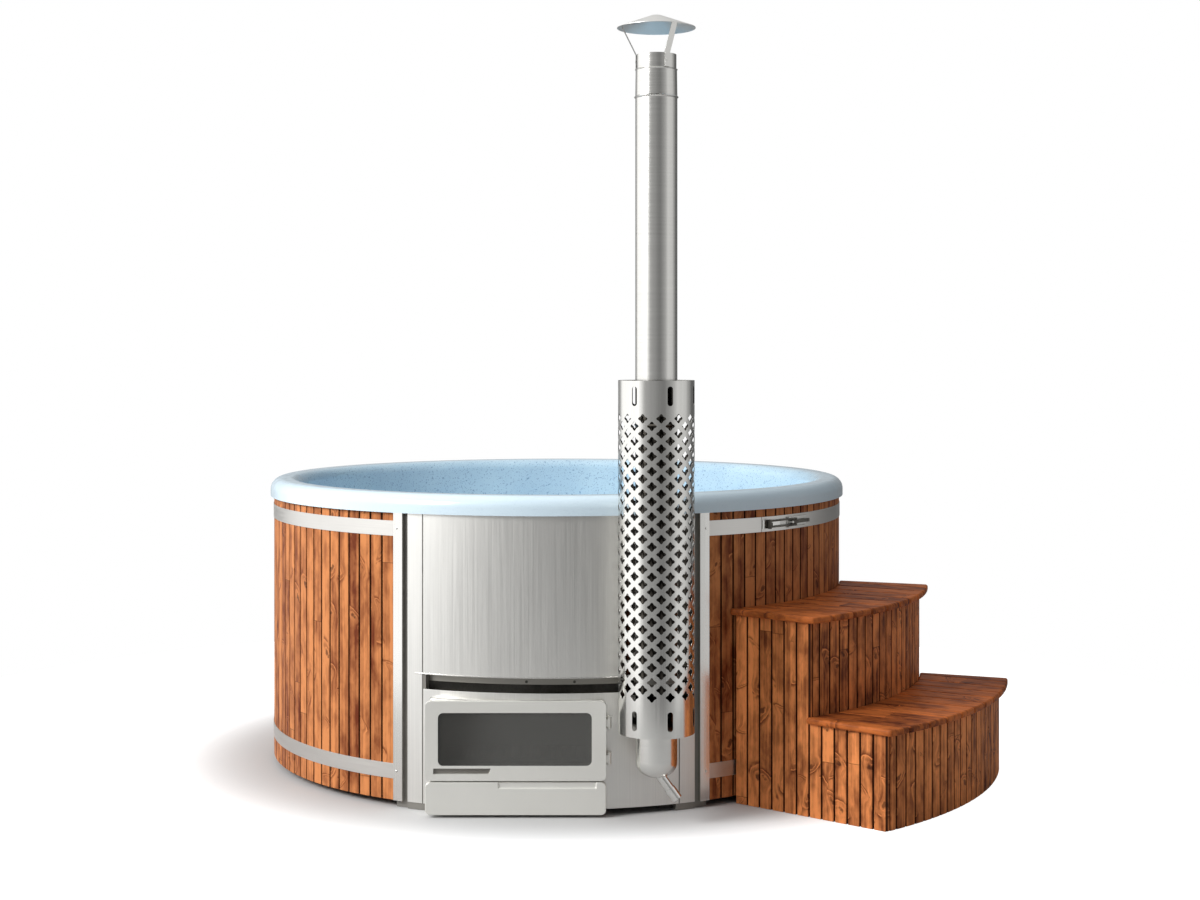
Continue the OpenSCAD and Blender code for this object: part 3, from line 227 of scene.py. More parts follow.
def knot_field(tree, grain, across, along, board, knots):
    """The nearest knot, at most one to a cell. Knots are wider than a board, so rings cross it as arcs."""
    cell_w, cell_l, cell_factor = 60 * MM, 150 * MM, 57.0
    half_w, half_h = 31 * MM, 20 * MM
    smallest, largest, steepest = 0.5, 1.6, 0.9
    wobble_scale, wobble_size = 42.0, 1.1
    u = calc(tree, "MULTIPLY_ADD", board, cell_factor, calc(tree, "DIVIDE", across, cell_w))
    v = calc(tree, "DIVIDE", along, cell_l)
    spot = shader(tree, "CombineXYZ", {0: u, 1: v}).outputs[0]
    cells = shader(
        tree, "TexVoronoi", {"Vector": spot, "Scale": 1.0, "Randomness": 0.8}, voronoi_dimensions="2D"
    )
    middle = shader(tree, "SeparateXYZ", {0: cells.outputs["Position"]}).outputs
    off_u = product(tree, calc(tree, "SUBTRACT", u, middle[0]), cell_w)
    off_v = product(tree, calc(tree, "SUBTRACT", v, middle[1]), cell_l)
    lots = shader(tree, "SeparateColor", {0: cells.outputs["Color"]}).outputs
    there = calc(tree, "LESS_THAN", lots[0], knots)
    size = spread(tree, lots[1], 0.0, 1.0, smallest, largest)
    slope = spread(tree, lots[2], 0.0, 1.0, -steepest, steepest)
    tilted_v = calc(tree, "MULTIPLY_ADD", off_u, slope, off_v)
    near_u = calc(tree, "DIVIDE", off_u, half_w)
    near_v = calc(tree, "DIVIDE", tilted_v, product(tree, size, half_h))
    square = calc(tree, "MULTIPLY_ADD", near_u, near_u, product(tree, near_v, near_v))
    uneven = calc(tree, "SUBTRACT", noise(tree, grain, wobble_scale, 3.0, 0.6), 0.5)
    reach = calc(tree, "ADD", square, product(tree, uneven, wobble_size))
    return off_u, near_v, calc(tree, "MAXIMUM", reach, 0.0), lots, there


def knot_arcs(tree, wood, ring, shown, given):
    """Two arcs round a knot: each is a painted highlight, a bright sheen line, with a painted brown shadow on
    its outer side.
    """
    shadow_reach, sheen_reach, strength = 0.6, 0.1, 0.85
    for at, much in ((1.0, 1.0), (0.5, 0.6)):
        off_ring = calc(tree, "SUBTRACT", ring, at)
        fading = spread(tree, off_ring, shadow_reach, 0.0)
        outside = spread(tree, off_ring, -0.02, 0.05)
        shade = product(tree, fading, outside, shown, strength * much)
        wood = tint(tree, shade, wood, given.outputs["Dark"])
        sheen_line = spread(tree, calc(tree, "ABSOLUTE", off_ring), sheen_reach, 0.02)
        sheen_line = product(tree, sheen_line, shown, strength * much)
        wood = tint(tree, sheen_line, wood, given.outputs["Light"])
    return wood


def board_grain():
    """Stained softwood: streaks and mottling that swirl round knots, with painted sheen arcs, joints, and
    painted shadow in the grooves.
    """
    tree, given, out = effect(
        "Board grain",
        [
            ("Grain", "Vector", None),
            ("Board", "Float", 0.5),
            ("Light", "Color", None),
            ("Dark", "Color", None),
            ("Knot", "Color", None),
            ("Knots", "Float", 0.4),
            ("Groove", "Float", 1.0),
        ],
        [("Color", "Color"), ("Roughness", "Float"), ("Height", "Float")],
    )
    grain, knot = given.outputs["Grain"], given.outputs["Knot"]
    across, depth, length = shader(tree, "SeparateXYZ", {0: grain}).outputs
    board, off_joint = pieced_board(tree, given.outputs["Board"], length)
    length_factor, noise_factor = 41.7, 9.1
    along = calc(tree, "MULTIPLY_ADD", board, length_factor, length)
    knots = given.outputs["Knots"]
    off_u, near_v, reach, lots, there = knot_field(tree, grain, across, along, board, knots)

    # the grain is bent round the knots
    swirl = 0.9
    swell = product(tree, calc(tree, "EXPONENT", product(tree, reach, -1.0)), there)
    bent = calc(tree, "SUBTRACT", across, product(tree, off_u, product(tree, swell, swirl)))
    moved = calc(tree, "MULTIPLY_ADD", board, noise_factor, bent)
    place = shader(tree, "CombineXYZ", {0: moved, 1: depth, 2: along}).outputs[0]

    # streaks, mottling, large patches and fibres, scaled per metre across, into and along the board
    streak = spread(tree, noise(tree, stretched(tree, place, 75.0, 40.0, 1.5), 1.0, 3.0, 0.55), 0.3, 0.7)
    mottle = spread(tree, noise(tree, stretched(tree, place, 26.0, 20.0, 13.0), 1.0, 3.0, 0.6), 0.34, 0.66)
    patch = spread(tree, noise(tree, stretched(tree, place, 9.0, 9.0, 4.5), 1.0, 2.0), 0.36, 0.64)
    fibre = noise(tree, stretched(tree, place, 560.0, 560.0, 12.0), 1.0, 2.0)
    board_share, all_dark = 0.46, -0.52
    light = calc(tree, "MULTIPLY_ADD", board, board_share, all_dark)
    for share, what in ((0.5, streak), (0.42, mottle), (0.36, patch), (0.5, fibre)):
        light = calc(tree, "MULTIPLY_ADD", what, share, light)
    wood = tint(tree, light, given.outputs["Dark"], given.outputs["Light"])

    # a knot shows its painted sheen arcs on one side only, broken by patches, and some knots have a dark
    # heart
    patch_scale, hearts_above, heart_share = 30.0, 0.35, 0.7
    ring = calc(tree, "SQRT", reach)
    patchy = spread(tree, noise(tree, grain, patch_scale, 1.0), 0.34, 0.5)
    upward = calc(tree, "SUBTRACT", product(tree, calc(tree, "GREATER_THAN", lots[2], 0.5), 2.0), 1.0)
    one_side = spread(tree, product(tree, near_v, upward), -0.1, 0.35)
    shown = product(tree, patchy, there, one_side)
    wood = knot_arcs(tree, wood, ring, shown, given)
    hearted = product(tree, calc(tree, "GREATER_THAN", lots[1], hearts_above), there)
    core = product(tree, spread(tree, ring, 0.42, 0.1), hearted)
    wood = tint(tree, product(tree, core, heart_share), wood, knot)

    # the joint between two lengths, and the shadow in the groove between two boards
    seam_share, groove_share = 0.6, 0.92
    seam = spread(tree, off_joint, 1.6 * MM, 0.4 * MM)
    wood = tint(tree, product(tree, seam, seam_share), wood, knot)
    below_face = spread(tree, depth, 0.2 * MM, 2.2 * MM)
    before_back = spread(tree, depth, 9.5 * MM, 8 * MM)
    deep = product(tree, below_face, before_back, given.outputs["Groove"], groove_share)
    # the painted groove shadow takes the knot's colour
    wood = tint(tree, deep, wood, knot)

    fibre_height, streak_height, hollow = 0.5, 0.3, 0.5
    height = calc(tree, "MULTIPLY_ADD", fibre, fibre_height, product(tree, streak, streak_height))
    height = calc(tree, "SUBTRACT", height, product(tree, calc(tree, "MAXIMUM", core, seam), hollow))
    rough = calc(tree, "MULTIPLY_ADD", fibre, 0.2, 0.4)
    feed(tree, out, {"Color": wood, "Roughness": rough, "Height": height})
    return tree


def brushed_lines():
    """Fine lines left by brushing, along one axis, with faint smudges of handling."""
    tree, given, out = effect(
        "Brushed lines",
        [("Place", "Vector", None), ("Lines", "Vector", (500.0, 500.0, 3.0)), ("Smudge", "Float", 0.3)],
        [("Lines", "Float"), ("Smudge", "Float")],
    )
    place = given.outputs["Place"]
    scaled = shader(tree, "VectorMath", {0: place, 1: given.outputs["Lines"]}, operation="MULTIPLY")
    lines = spread(tree, noise(tree, scaled.outputs[0], 1.0, 3.0, 0.65), 0.25, 0.75)
    cloud = spread(tree, noise(tree, place, 4.0, 4.0, 0.6), 0.35, 0.7)
    feed(tree, out, {"Lines": lines, "Smudge": product(tree, cloud, given.outputs["Smudge"])})
    return tree


def fine_grit():
    """Even fine unevenness for cast, painted, moulded and woven surfaces."""
    tree, given, out = effect(
        "Fine grit",
        [("Place", "Vector", None), ("Scale", "Float", 300.0), ("Cloud", "Float", 6.0)],
        [("Grit", "Float"), ("Cloud", "Float")],
    )
    place = given.outputs["Place"]
    grit = spread(tree, noise(tree, place, given.outputs["Scale"], 3.0), 0.3, 0.7)
    cloud = spread(tree, noise(tree, place, given.outputs["Cloud"], 4.0), 0.3, 0.7)
    feed(tree, out, {"Grit": grit, "Cloud": cloud})
    return tree


def heated_part():
    """The share of painted shade: full inside the shield, none on its outside or near its ends."""
    outer_skin, inner_skin = 0.2 * MM, 1.2 * MM
    low_fade, top_clear, top_fade = 15 * MM, 6 * MM, 20 * MM
    tree, given, out = effect("Shade inside shield", [("Place", "Vector", None)], [("Share", "Float")])
    place = given.outputs["Place"]
    reach = shader(tree, "VectorMath", {0: place, 1: CHIMNEY_FOOT}, operation="SUBTRACT").outputs[0]
    within = spread(tree, off_axis(tree, reach), SHIELD_R - outer_skin, SHIELD_R - inner_skin)
    height = shader(tree, "SeparateXYZ", {0: place}).outputs[2]
    over = spread(tree, height, SHIELD_LOW.z, SHIELD_LOW.z + low_fade)
    under = spread(tree, height, SHIELD_HIGH.z - top_clear, SHIELD_HIGH.z - top_fade)
    feed(tree, out, {"Share": product(tree, within, product(tree, over, under))})
    return tree


EFFECTS = {"grain": board_grain, "lines": brushed_lines, "grit": fine_grit, "heat": heated_part}
made_effects = {}
made_finishes = {}


def placed(tree, name, inputs):
    """A node group placed in a material, built at its first use."""
    if name not in made_effects:
        made_effects[name] = EFFECTS[name]()
    group = tree.nodes.new("ShaderNodeGroup")
    group.node_tree = made_effects[name]
    feed(tree, group, inputs)
    return group.outputs


def blank(name, **surface):
    """A material with one surface shader, whose constant sockets are set here."""
    material = bpy.data.materials.new(name)
    material.use_nodes = True
    tree = material.node_tree
    body = tree.nodes["Principled BSDF"]
    feed(tree, body, {key.replace("_", " "): value for key, value in surface.items()})
    return material, tree, body


def raised(tree, body, height, metres, strength):
    """Feeds a height to the surface through a Bump node."""
    bump = shader(tree, "Bump", {"Strength": strength, "Distance": metres, "Height": height})
    feed(tree, body, {"Normal": bump.outputs[0]})


def wood_finish(name, light, dark, knots, groove, coat=0.03):
    """Marked boards. `knots` is the share of cells with a knot, `groove` the strength of the painted shadow
    in the grooves.
    """
    material, tree, body = blank(name, Coat_Weight=coat, Coat_Roughness=0.35, Specular_IOR_Level=0.12)
    grain = shader(tree, "Attribute", attribute_name="grain", attribute_type="GEOMETRY")
    board = shader(tree, "Attribute", attribute_name="board", attribute_type="GEOMETRY")
    got = placed(
        tree, "grain",
        {
            "Grain": grain.outputs["Vector"],
            "Board": board.outputs["Fac"],
            "Light": opaque(light),
            "Dark": opaque(dark),
            "Knot": opaque(bpy.context.scene.hot_tub_finishes.knot),
            "Knots": knots,
            "Groove": groove,
        },
    )
    feed(tree, body, {"Base Color": got["Color"], "Roughness": got["Roughness"]})
    raised(tree, body, got["Height"], 0.5 * MM, 0.6)
    return material


def steel_finish(name, colour, lines, rough, smudge=0.25, heated=False):
    """Bare steel, brushed along the axes on which `lines` repeats least. `rough` is a range."""
    line_height, heat_tone = 0.04 * MM, opaque(tone(84, 80, 74))
    material, tree, body = blank(name, Metallic=1.0)
    place = shader(tree, "TexCoord").outputs["Object"]
    got = placed(tree, "lines", {"Place": place, "Lines": lines, "Smudge": smudge})
    shade = tint(tree, got["Lines"], opaque(colour, 0.93), opaque(colour, 1.02))
    shade = tint(tree, got["Smudge"], shade, opaque(colour, 0.86))
    # painted shade: steel inside the shield is darkened, standing in for the shade in its holes
    if heated:
        heat = placed(tree, "heat", {"Place": place})
        shade = tint(tree, heat["Share"], shade, heat_tone)
    low, high = rough
    uneven = spread(tree, got["Lines"], 0.0, 1.0, low, high)
    uneven = calc(tree, "ADD", uneven, product(tree, got["Smudge"], 0.1))
    feed(tree, body, {"Base Color": shade, "Roughness": uneven})
    raised(tree, body, got["Lines"], line_height, 0.5)
    return material


def gritty_finish(name, colour, second, scale, cloud, rough, bump, metallic=0.0):
    """Painted, cast, moulded or woven surface with fine grit and slow changes of shade.

    Grit and cloud repeat `scale` and `cloud` times per metre. `bump` is the height in metres.
    """
    material, tree, body = blank(name, Metallic=metallic)
    place = shader(tree, "TexCoord").outputs["Object"]
    got = placed(tree, "grit", {"Place": place, "Scale": scale, "Cloud": cloud})
    shade = tint(tree, got["Cloud"], opaque(colour), opaque(second))
    low, high = rough
    feed(tree, body, {"Base Color": shade, "Roughness": spread(tree, got["Grit"], 0.0, 1.0, low, high)})
    raised(tree, body, got["Grit"], bump, 0.5)
    return material


def shell_finish(name):
    """Glossy moulded shell, pale on the rim and deeper blue with specks inside."""
    finishes = bpy.context.scene.hot_tub_finishes
    rim_radius, inner_radius = 0.9, 0.872
    inner_tone = opaque(tone(202, 230, 245))
    material, tree, body = blank(name, Coat_Weight=0.15, Coat_Roughness=0.08)
    place = shader(tree, "TexCoord").outputs["Object"]
    # only the peaks of a fine and of a coarser noise become specks
    small = spread(tree, noise(tree, place, 210.0, 2.0), 0.6, 0.68)
    large = spread(tree, noise(tree, place, 95.0, 2.0), 0.63, 0.72)
    specks = calc(tree, "MAXIMUM", small, large)
    inside = spread(tree, off_axis(tree, place), rim_radius, inner_radius)
    ground = tint(tree, inside, opaque(finishes.shell), inner_tone)
    got = placed(tree, "grit", {"Place": place, "Scale": 40.0, "Cloud": 5.0})
    stain = product(tree, got["Cloud"], spread(tree, inside, 0.0, 1.0, 0.05, 0.16))
    ground = tint(tree, stain, ground, opaque(finishes.speck))
    share = product(tree, specks, spread(tree, inside, 0.0, 1.0, 0.06, 0.6))
    ground = tint(tree, share, ground, opaque(finishes.speck, 0.8))
    rough = spread(tree, got["Grit"], 0.0, 1.0, 0.16, 0.26)
    feed(tree, body, {"Base Color": ground, "Roughness": rough})
    raised(tree, body, got["Cloud"], 0.4 * MM, 0.15)
    return material


def glass_finish(name):
    """Smoked ceramic glass with more soot towards its left."""
    soot_tone, clear_tone = opaque(tone(72, 70, 63)), opaque(tone(136, 135, 130))
    sooty_x, clear_x, ragged = -0.32, -0.06, 0.05
    material, tree, body = blank(name, Transmission_Weight=0.72, IOR=1.5)
    place = shader(tree, "TexCoord").outputs["Object"]
    got = placed(tree, "grit", {"Place": place, "Scale": 60.0, "Cloud": 9.0})
    side = shader(tree, "SeparateXYZ", {0: place}).outputs[0]
    clear = spread(tree, calc(tree, "MULTIPLY_ADD", got["Cloud"], ragged, side), sooty_x, clear_x)
    rough = spread(tree, got["Cloud"], 0.0, 1.0, 0.03, 0.1)
    feed(tree, body, {"Base Color": tint(tree, clear, soot_tone, clear_tone), "Roughness": rough})
    return material


# how often brushing lines repeat per metre along x, y and z
UPRIGHT = (420.0, 420.0, 2.5)
LEVEL = (6.0, 6.0, 520.0)


def finish_for(slot):
    """The material of a record slot, made at its first use."""
    if slot in made_finishes:
        return made_finishes[slot]
    f = bpy.context.scene.hot_tub_finishes
    steel = tuple(f.steel)
    door = tuple(f.door_steel)
    recipes = {
        "stave_wood": lambda: wood_finish("Stained wall boards", f.wall_light, f.wall_dark, 0.42, groove=1.0),
        "stair_wood": lambda: wood_finish(
            "Stained stair boards", f.stair_light, f.stair_dark, 0.62, groove=1.0
        ),
        "tread_wood": lambda: wood_finish(
            "Stained treads", tone(206, 114, 56), tone(78, 30, 12), 0.45, groove=0.0
        ),
        "frame_wood": lambda: wood_finish(
            "Plain spruce", tone(214, 178, 128), tone(160, 116, 70), 0.3, groove=0.0, coat=0.0
        ),
        "shell": lambda: shell_finish("Moulded shell"),
        "satin_steel": lambda: steel_finish("Upright brushed steel", steel, UPRIGHT, (0.36, 0.46)),
        "band_steel": lambda: steel_finish("Level brushed steel", tone(214, 212, 208), LEVEL, (0.3, 0.42)),
        "door_steel": lambda: gritty_finish(
            "Satin door steel", door, tuple(0.94 * c for c in door), 420.0, 3.0, (0.36, 0.46), 0.00003, 0.45
        ),
        "rail_steel": lambda: gritty_finish(
            "Dull rail steel", tone(136, 133, 127), tone(118, 115, 110), 300.0, 4.0, (0.45, 0.6), 0.00005, 0.3
        ),
        "latch_steel": lambda: gritty_finish(
            "Dull latch steel", tone(112, 108, 101), tone(84, 81, 76), 300.0, 30.0, (0.35, 0.5), 0.00005, 0.8
        ),
        # a darker copy of the steel: painted shade for the plate behind the slot and the shield's brackets,
        # which sit in shade
        "plate_steel": lambda: steel_finish("Dull shaded steel plate", tone(150, 147, 140), LEVEL, (0.4, 0.5)),
        # the shield and the pipes inside it are darkened within the shield as painted shade
        "bright_steel": lambda: steel_finish("Bright steel", steel, UPRIGHT, (0.14, 0.2), 0.12, heated=True),
        "pipe_steel": lambda: steel_finish("Pipe steel", steel, LEVEL, (0.16, 0.22), 0.12, heated=True),
        "dark_steel": lambda: gritty_finish(
            "Heat-darkened steel", tone(104, 102, 97), tone(64, 61, 57), 160.0, 7.0, (0.4, 0.62), 0.0002, 0.85
        ),
        "grate_iron": lambda: gritty_finish(
            "Cast iron", tone(52, 50, 48), tone(30, 28, 27), 240.0, 12.0, (0.55, 0.8), 0.0004, 0.6
        ),
        "stove_glass": lambda: glass_finish("Smoked stove glass"),
        "gasket_rope": lambda: gritty_finish(
            "Woven gasket", tone(66, 63, 58), tone(38, 36, 33), 520.0, 40.0, (0.85, 1.0), 0.0009
        ),
        "rubber": lambda: gritty_finish(
            "Rubber", tone(38, 38, 38), tone(24, 24, 24), 420.0, 9.0, (0.55, 0.75), 0.0002
        ),
        "plastic_pipe": lambda: gritty_finish(
            "Plastic pipe", tone(120, 122, 124), tone(96, 98, 101), 300.0, 5.0, (0.35, 0.5), 0.0001
        ),
    }
    made_finishes[slot] = recipes[slot]()
    return made_finishes[slot]


# Mesh work


def select_none():
    if bpy.context.object is not None and bpy.context.object.mode != "OBJECT":
        bpy.ops.object.mode_set(mode="OBJECT")
    bpy.ops.object.select_all(action="DESELECT")


def pick(piece):
    """Makes one piece the only selected one."""
    select_none()
    piece.hide_viewport = False
    piece.select_set(True)
    bpy.context.view_layer.objects.active = piece


def choose(piece, wanted):
    """In edit mode with corners, selects only the corners that `wanted` takes."""
    bpy.ops.mesh.select_mode(type="VERT")
    bpy.ops.mesh.select_all(action="DESELECT")
    bpy.ops.object.mode_set(mode="OBJECT")
    for corner in piece.data.vertices:
        corner.select = wanted(corner)
    bpy.ops.object.mode_set(mode="EDIT")


def open_welded(piece, reach):
    """Goes into edit mode with all corners selected, and merges those closer than reach."""
    pick(piece)
    bpy.ops.object.mode_set(mode="EDIT")
    bpy.ops.mesh.select_all(action="SELECT")
    bpy.ops.mesh.remove_doubles(threshold=reach)


def settle(piece):
    """Puts the object's place, turn and scale into its mesh."""
    pick(piece)
    bpy.ops.object.transform_apply(location=True, rotation=True, scale=True)


def apply_modifier(piece, kind, **settings):
    pick(piece)
    made = piece.modifiers.new(kind.lower(), kind)
    for key, value in settings.items():
        setattr(made, key, value)
    bpy.ops.object.modifier_apply(modifier=made.name)


def repeated(piece, count, step):
    """Lays copies of a mesh beside each other, each one step on."""
    apply_modifier(
        piece, "ARRAY", count=count, use_relative_offset=False,
        use_constant_offset=True, constant_offset_displace=step,
    )


def copied(piece, move):
    """A copy of a piece, its mesh moved by a matrix."""
    twin = piece.copy()
    twin.data = piece.data.copy()
    bpy.context.scene.collection.objects.link(twin)
    twin.data.transform(move)
    return twin


def eased(piece, width, segments, angle):
    """Rounds the corners that are sharper than angle, and shades what stays smooth."""
    shading_margin = 4
    if width > 0:
        apply_modifier(
            piece, "BEVEL", width=width, segments=segments, limit_method="ANGLE",
            angle_limit=math.radians(angle), use_clamp_overlap=True,
        )
    pick(piece)
    bpy.ops.object.shade_smooth_by_angle(angle=math.radians(angle + shading_margin))
    if width > 0:
        apply_modifier(piece, "WEIGHTED_NORMAL", keep_sharp=True)


def dress(piece, finish):
    piece.data.materials.clear()
    piece.data.materials.append(finish_for(finish))


def refined(node, width, segments=2, angle=32.0, finish=None, flat=0.4):
    """A welded copy of a CAD node with eased edges. It stands for the node and rides on its body.

    Faces that meet at less than `flat` degrees become one.
    """
    source = frame["nodes"][node]
    piece = bpy.data.objects.new(node + ".shown", source.data.copy())
    bpy.context.scene.collection.objects.link(piece)
    piece.data.name = piece.name
    open_welded(piece, 0.01 * MM)
    if flat > 0:
        bpy.ops.mesh.dissolve_limited(angle_limit=math.radians(flat))
    bpy.ops.object.mode_set(mode="OBJECT")
    if piece.data.has_custom_normals:
        bpy.ops.mesh.customdata_custom_splitnormals_clear()
    eased(piece, width, segments, angle)
    slot = SLOT_OF[node]
    dress(piece, finish or slot)
    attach(piece, source["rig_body"])
    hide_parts(node)
    return piece


def islands(mesh):
    """The number of the loose part that each corner of a mesh belongs to."""
    parent = np.arange(len(mesh.vertices))
    edges = np.zeros(len(mesh.edges) * 2, np.int64)
    mesh.edges.foreach_get("vertices", edges)
    edges = edges.reshape(-1, 2)
    while True:
        low = np.minimum(parent[edges[:, 0]], parent[edges[:, 1]])
        before = parent.copy()
        np.minimum.at(parent, edges[:, 0], low)
        np.minimum.at(parent, edges[:, 1], low)
        parent = parent[parent]
        if (parent == before).all():
            return np.unique(parent, return_inverse=True)[1]


def mark_boards(piece, along, away_from, seed, face=None):
    """Writes to the mesh where each corner lies on its own board, and each board's shade.

    A board's face is its broadest side, turned away from `away_from`, unless `face` gives it.
    """
    end_grain = 0.3
    draw = random.Random(seed)
    mesh = piece.data
    corners = np.zeros(len(mesh.vertices) * 3)
    mesh.vertices.foreach_get("co", corners)
    corners = corners.reshape(-1, 3)
    label = islands(mesh)
    sides = [[] for _ in range(label.max() + 1)]
    for side in mesh.polygons:
        sides[label[side.vertices[0]]].append(side)
    grain = np.zeros_like(corners)
    shade = np.zeros(len(corners))
    for k, own in enumerate(sides):
        mine = label == k
        middle = corners[mine].mean(0)
        if face is None:
            long_sides = (s for s in own if abs(s.normal.dot(along)) < end_grain)
            out = max(long_sides, key=lambda s: s.area, default=own[0]).normal.copy()
            centre = Vector(middle) - away_from
            if out.dot(Vector((centre.x, centre.y, 0))) < 0:
                out.negate()
        else:
            out = face
        across = along.cross(out).normalized()
        local = corners[mine] - middle
        depth = (local @ np.array(out)).max() - local @ np.array(out)
        grain[mine] = np.stack([local @ np.array(across), depth, local @ np.array(along)], 1)
        shade[mine] = draw.random()
    mesh.attributes.new("grain", "FLOAT_VECTOR", "POINT").data.foreach_set("vector", grain.ravel())
    mesh.attributes.new("board", "FLOAT", "POINT").data.foreach_set("value", shade)
    mesh.update()


def joined(pieces):
    pick(pieces[0])
    for piece in pieces:
        piece.select_set(True)
    bpy.ops.object.join()
    return bpy.context.object


def cut_away(piece, cutter):
    """Takes the cutter's solid out of a piece."""
    apply_modifier(piece, "BOOLEAN", operation="DIFFERENCE", object=cutter, solver="EXACT")
    bpy.data.objects.remove(cutter)


# Operators, one for each group of like pieces


class CladWall(bpy.types.Operator):
    """Finish the wall's boards and the rings behind them"""

    bl_idname = "hot_tub.clad_wall"
    bl_label = "Wall boards"

    def execute(self, context):
        edge = context.scene.hot_tub_sizes.board_edge
        for seed, node in enumerate(("staves_left", "staves_back", "staves_right"), 11):
            mark_boards(refined(node, edge), UP, Vector(), seed)
        for seed, node in enumerate(("upper_backing_ring", "lower_backing_ring"), 21):
            mark_boards(refined(node, edge), UP, Vector(), seed)
        return {"FINISHED"}


class BuildStairs(bpy.types.Operator):
    """Finish the stairs' boards, treads and frame"""

    bl_idname = "hot_tub.build_stairs"
    bl_label = "Stairs"

    def execute(self, context):
        sizes = context.scene.hot_tub_sizes
        for seed, node in enumerate(("stair_side_boards", "stair_front_boards"), 31):
            mark_boards(refined(node, sizes.board_edge), UP, STAIR_CORE, seed)
        treads = refined("stair_treads", sizes.tread_edge, 3, finish="tread_wood")
        mark_boards(treads, STAIR_OUT, STAIR_CORE, seed=41, face=UP)
        mark_boards(refined("stair_frame", sizes.board_edge), UP, STAIR_CORE, seed=43)
        return {"FINISHED"}


class MouldShell(bpy.types.Operator):
    """Finish the shell, its drain and the beams it stands on"""

    bl_idname = "hot_tub.mould_shell"
    bl_label = "Shell and base"

    def execute(self, context):
        refined("liner", 0.0, angle=40.0, flat=0.0)
        mark_boards(refined("base_beams", 2 * MM), Vector((0, 1, 0)), Vector(), seed=51, face=UP)
        for node in ("drain_fitting", "drain_plug", "drain_pipe"):
            refined(node, STOVE_EDGE)
        return {"FINISHED"}


class FitBands(bpy.types.Operator):
    """Finish the bands, the posts and the strips beside the front panel"""

    bl_idname = "hot_tub.fit_bands"
    bl_label = "Bands and posts"

    def execute(self, context):
        edge = context.scene.hot_tub_sizes.sheet_edge
        for node in ("upper_band", "lower_band"):
            refined(node, edge, finish="band_steel")
        for node in ("left_post", "right_post", "left_side_strip", "right_side_strip"):
            refined(node, edge)
        refined("front_rails", edge, finish="rail_steel")
        refined("band_screws", SCREW_EDGE)
        return {"FINISHED"}


class FitFrontPanel(bpy.types.Operator):
    """Finish the curved sheets over and round the stove, with the slot between them"""

    bl_idname = "hot_tub.fit_front_panel"
    bl_label = "Front panel"

    def execute(self, context):
        edge = context.scene.hot_tub_sizes.sheet_edge
        for node in ("upper_front_sheet", "lower_front_sheet", "slot_ledge"):
            refined(node, edge)
        # the plate behind the slot takes the darker steel as painted shade
        refined("slot_plate", edge, finish="plate_steel")
        refined("slot_screws", SCREW_EDGE)
        return {"FINISHED"}


class BuildStove(bpy.types.Operator):
    """Finish the stove's box, its grate and the water ports"""

    bl_idname = "hot_tub.build_stove"
    bl_label = "Stove"

    def execute(self, context):
        for node in ("stove_neck", "heater_body", "ash_box", "stove_feet", "water_ports", "port_grilles"):
            refined(node, STOVE_EDGE)
        refined("fire_grate", 1 * MM)
        return {"FINISHED"}


class HangFireDoor(bpy.types.Operator):
    """Finish the fire door, its glass and its hinge"""

    bl_idname = "hot_tub.hang_fire_door"
    bl_label = "Fire door"

    def execute(self, context):
        refined("door_frame", context.scene.hot_tub_sizes.plate_edge, 3)
        for node in ("door_glass", "glass_retainer", "door_gasket"):
            refined(node, STOVE_EDGE)
        refined("door_handle", STOVE_EDGE, finish="rail_steel")
        for node in ("hinge_brackets", "hinge_pins"):
            refined(node, FITTING_EDGE, finish="door_steel")
        return {"FINISHED"}


class FitAshDrawer(bpy.types.Operator):
    """Finish the ash drawer's front and tray"""

    bl_idname = "hot_tub.fit_ash_drawer"
    bl_label = "Ash drawer"

    def execute(self, context):
        refined("ash_drawer_front", context.scene.hot_tub_sizes.plate_edge, 3)
        refined("ash_tray", FITTING_EDGE)
        return {"FINISHED"}


class RaiseChimney(bpy.types.Operator):
    """Finish the chimney from its tee to the rain cap"""

    bl_idname = "hot_tub.raise_chimney"
    bl_label = "Chimney"

    def execute(self, context):
        for node in (
            "flue_stub", "chimney_tee", "tee_cap", "condensate_spout", "condensate_cap",
            "lower_pipe", "upper_pipe", "top_collar",
        ):
            refined(node, 0.0, angle=30.0)
        refined("rain_cap", 0.0, angle=30.0, finish="satin_steel")
        refined("cap_legs", SCREW_EDGE)
        # the brackets inside the shield take the darker steel as painted shade
        refined("shield_brackets", SCREW_EDGE, finish="plate_steel")
        return {"FINISHED"}


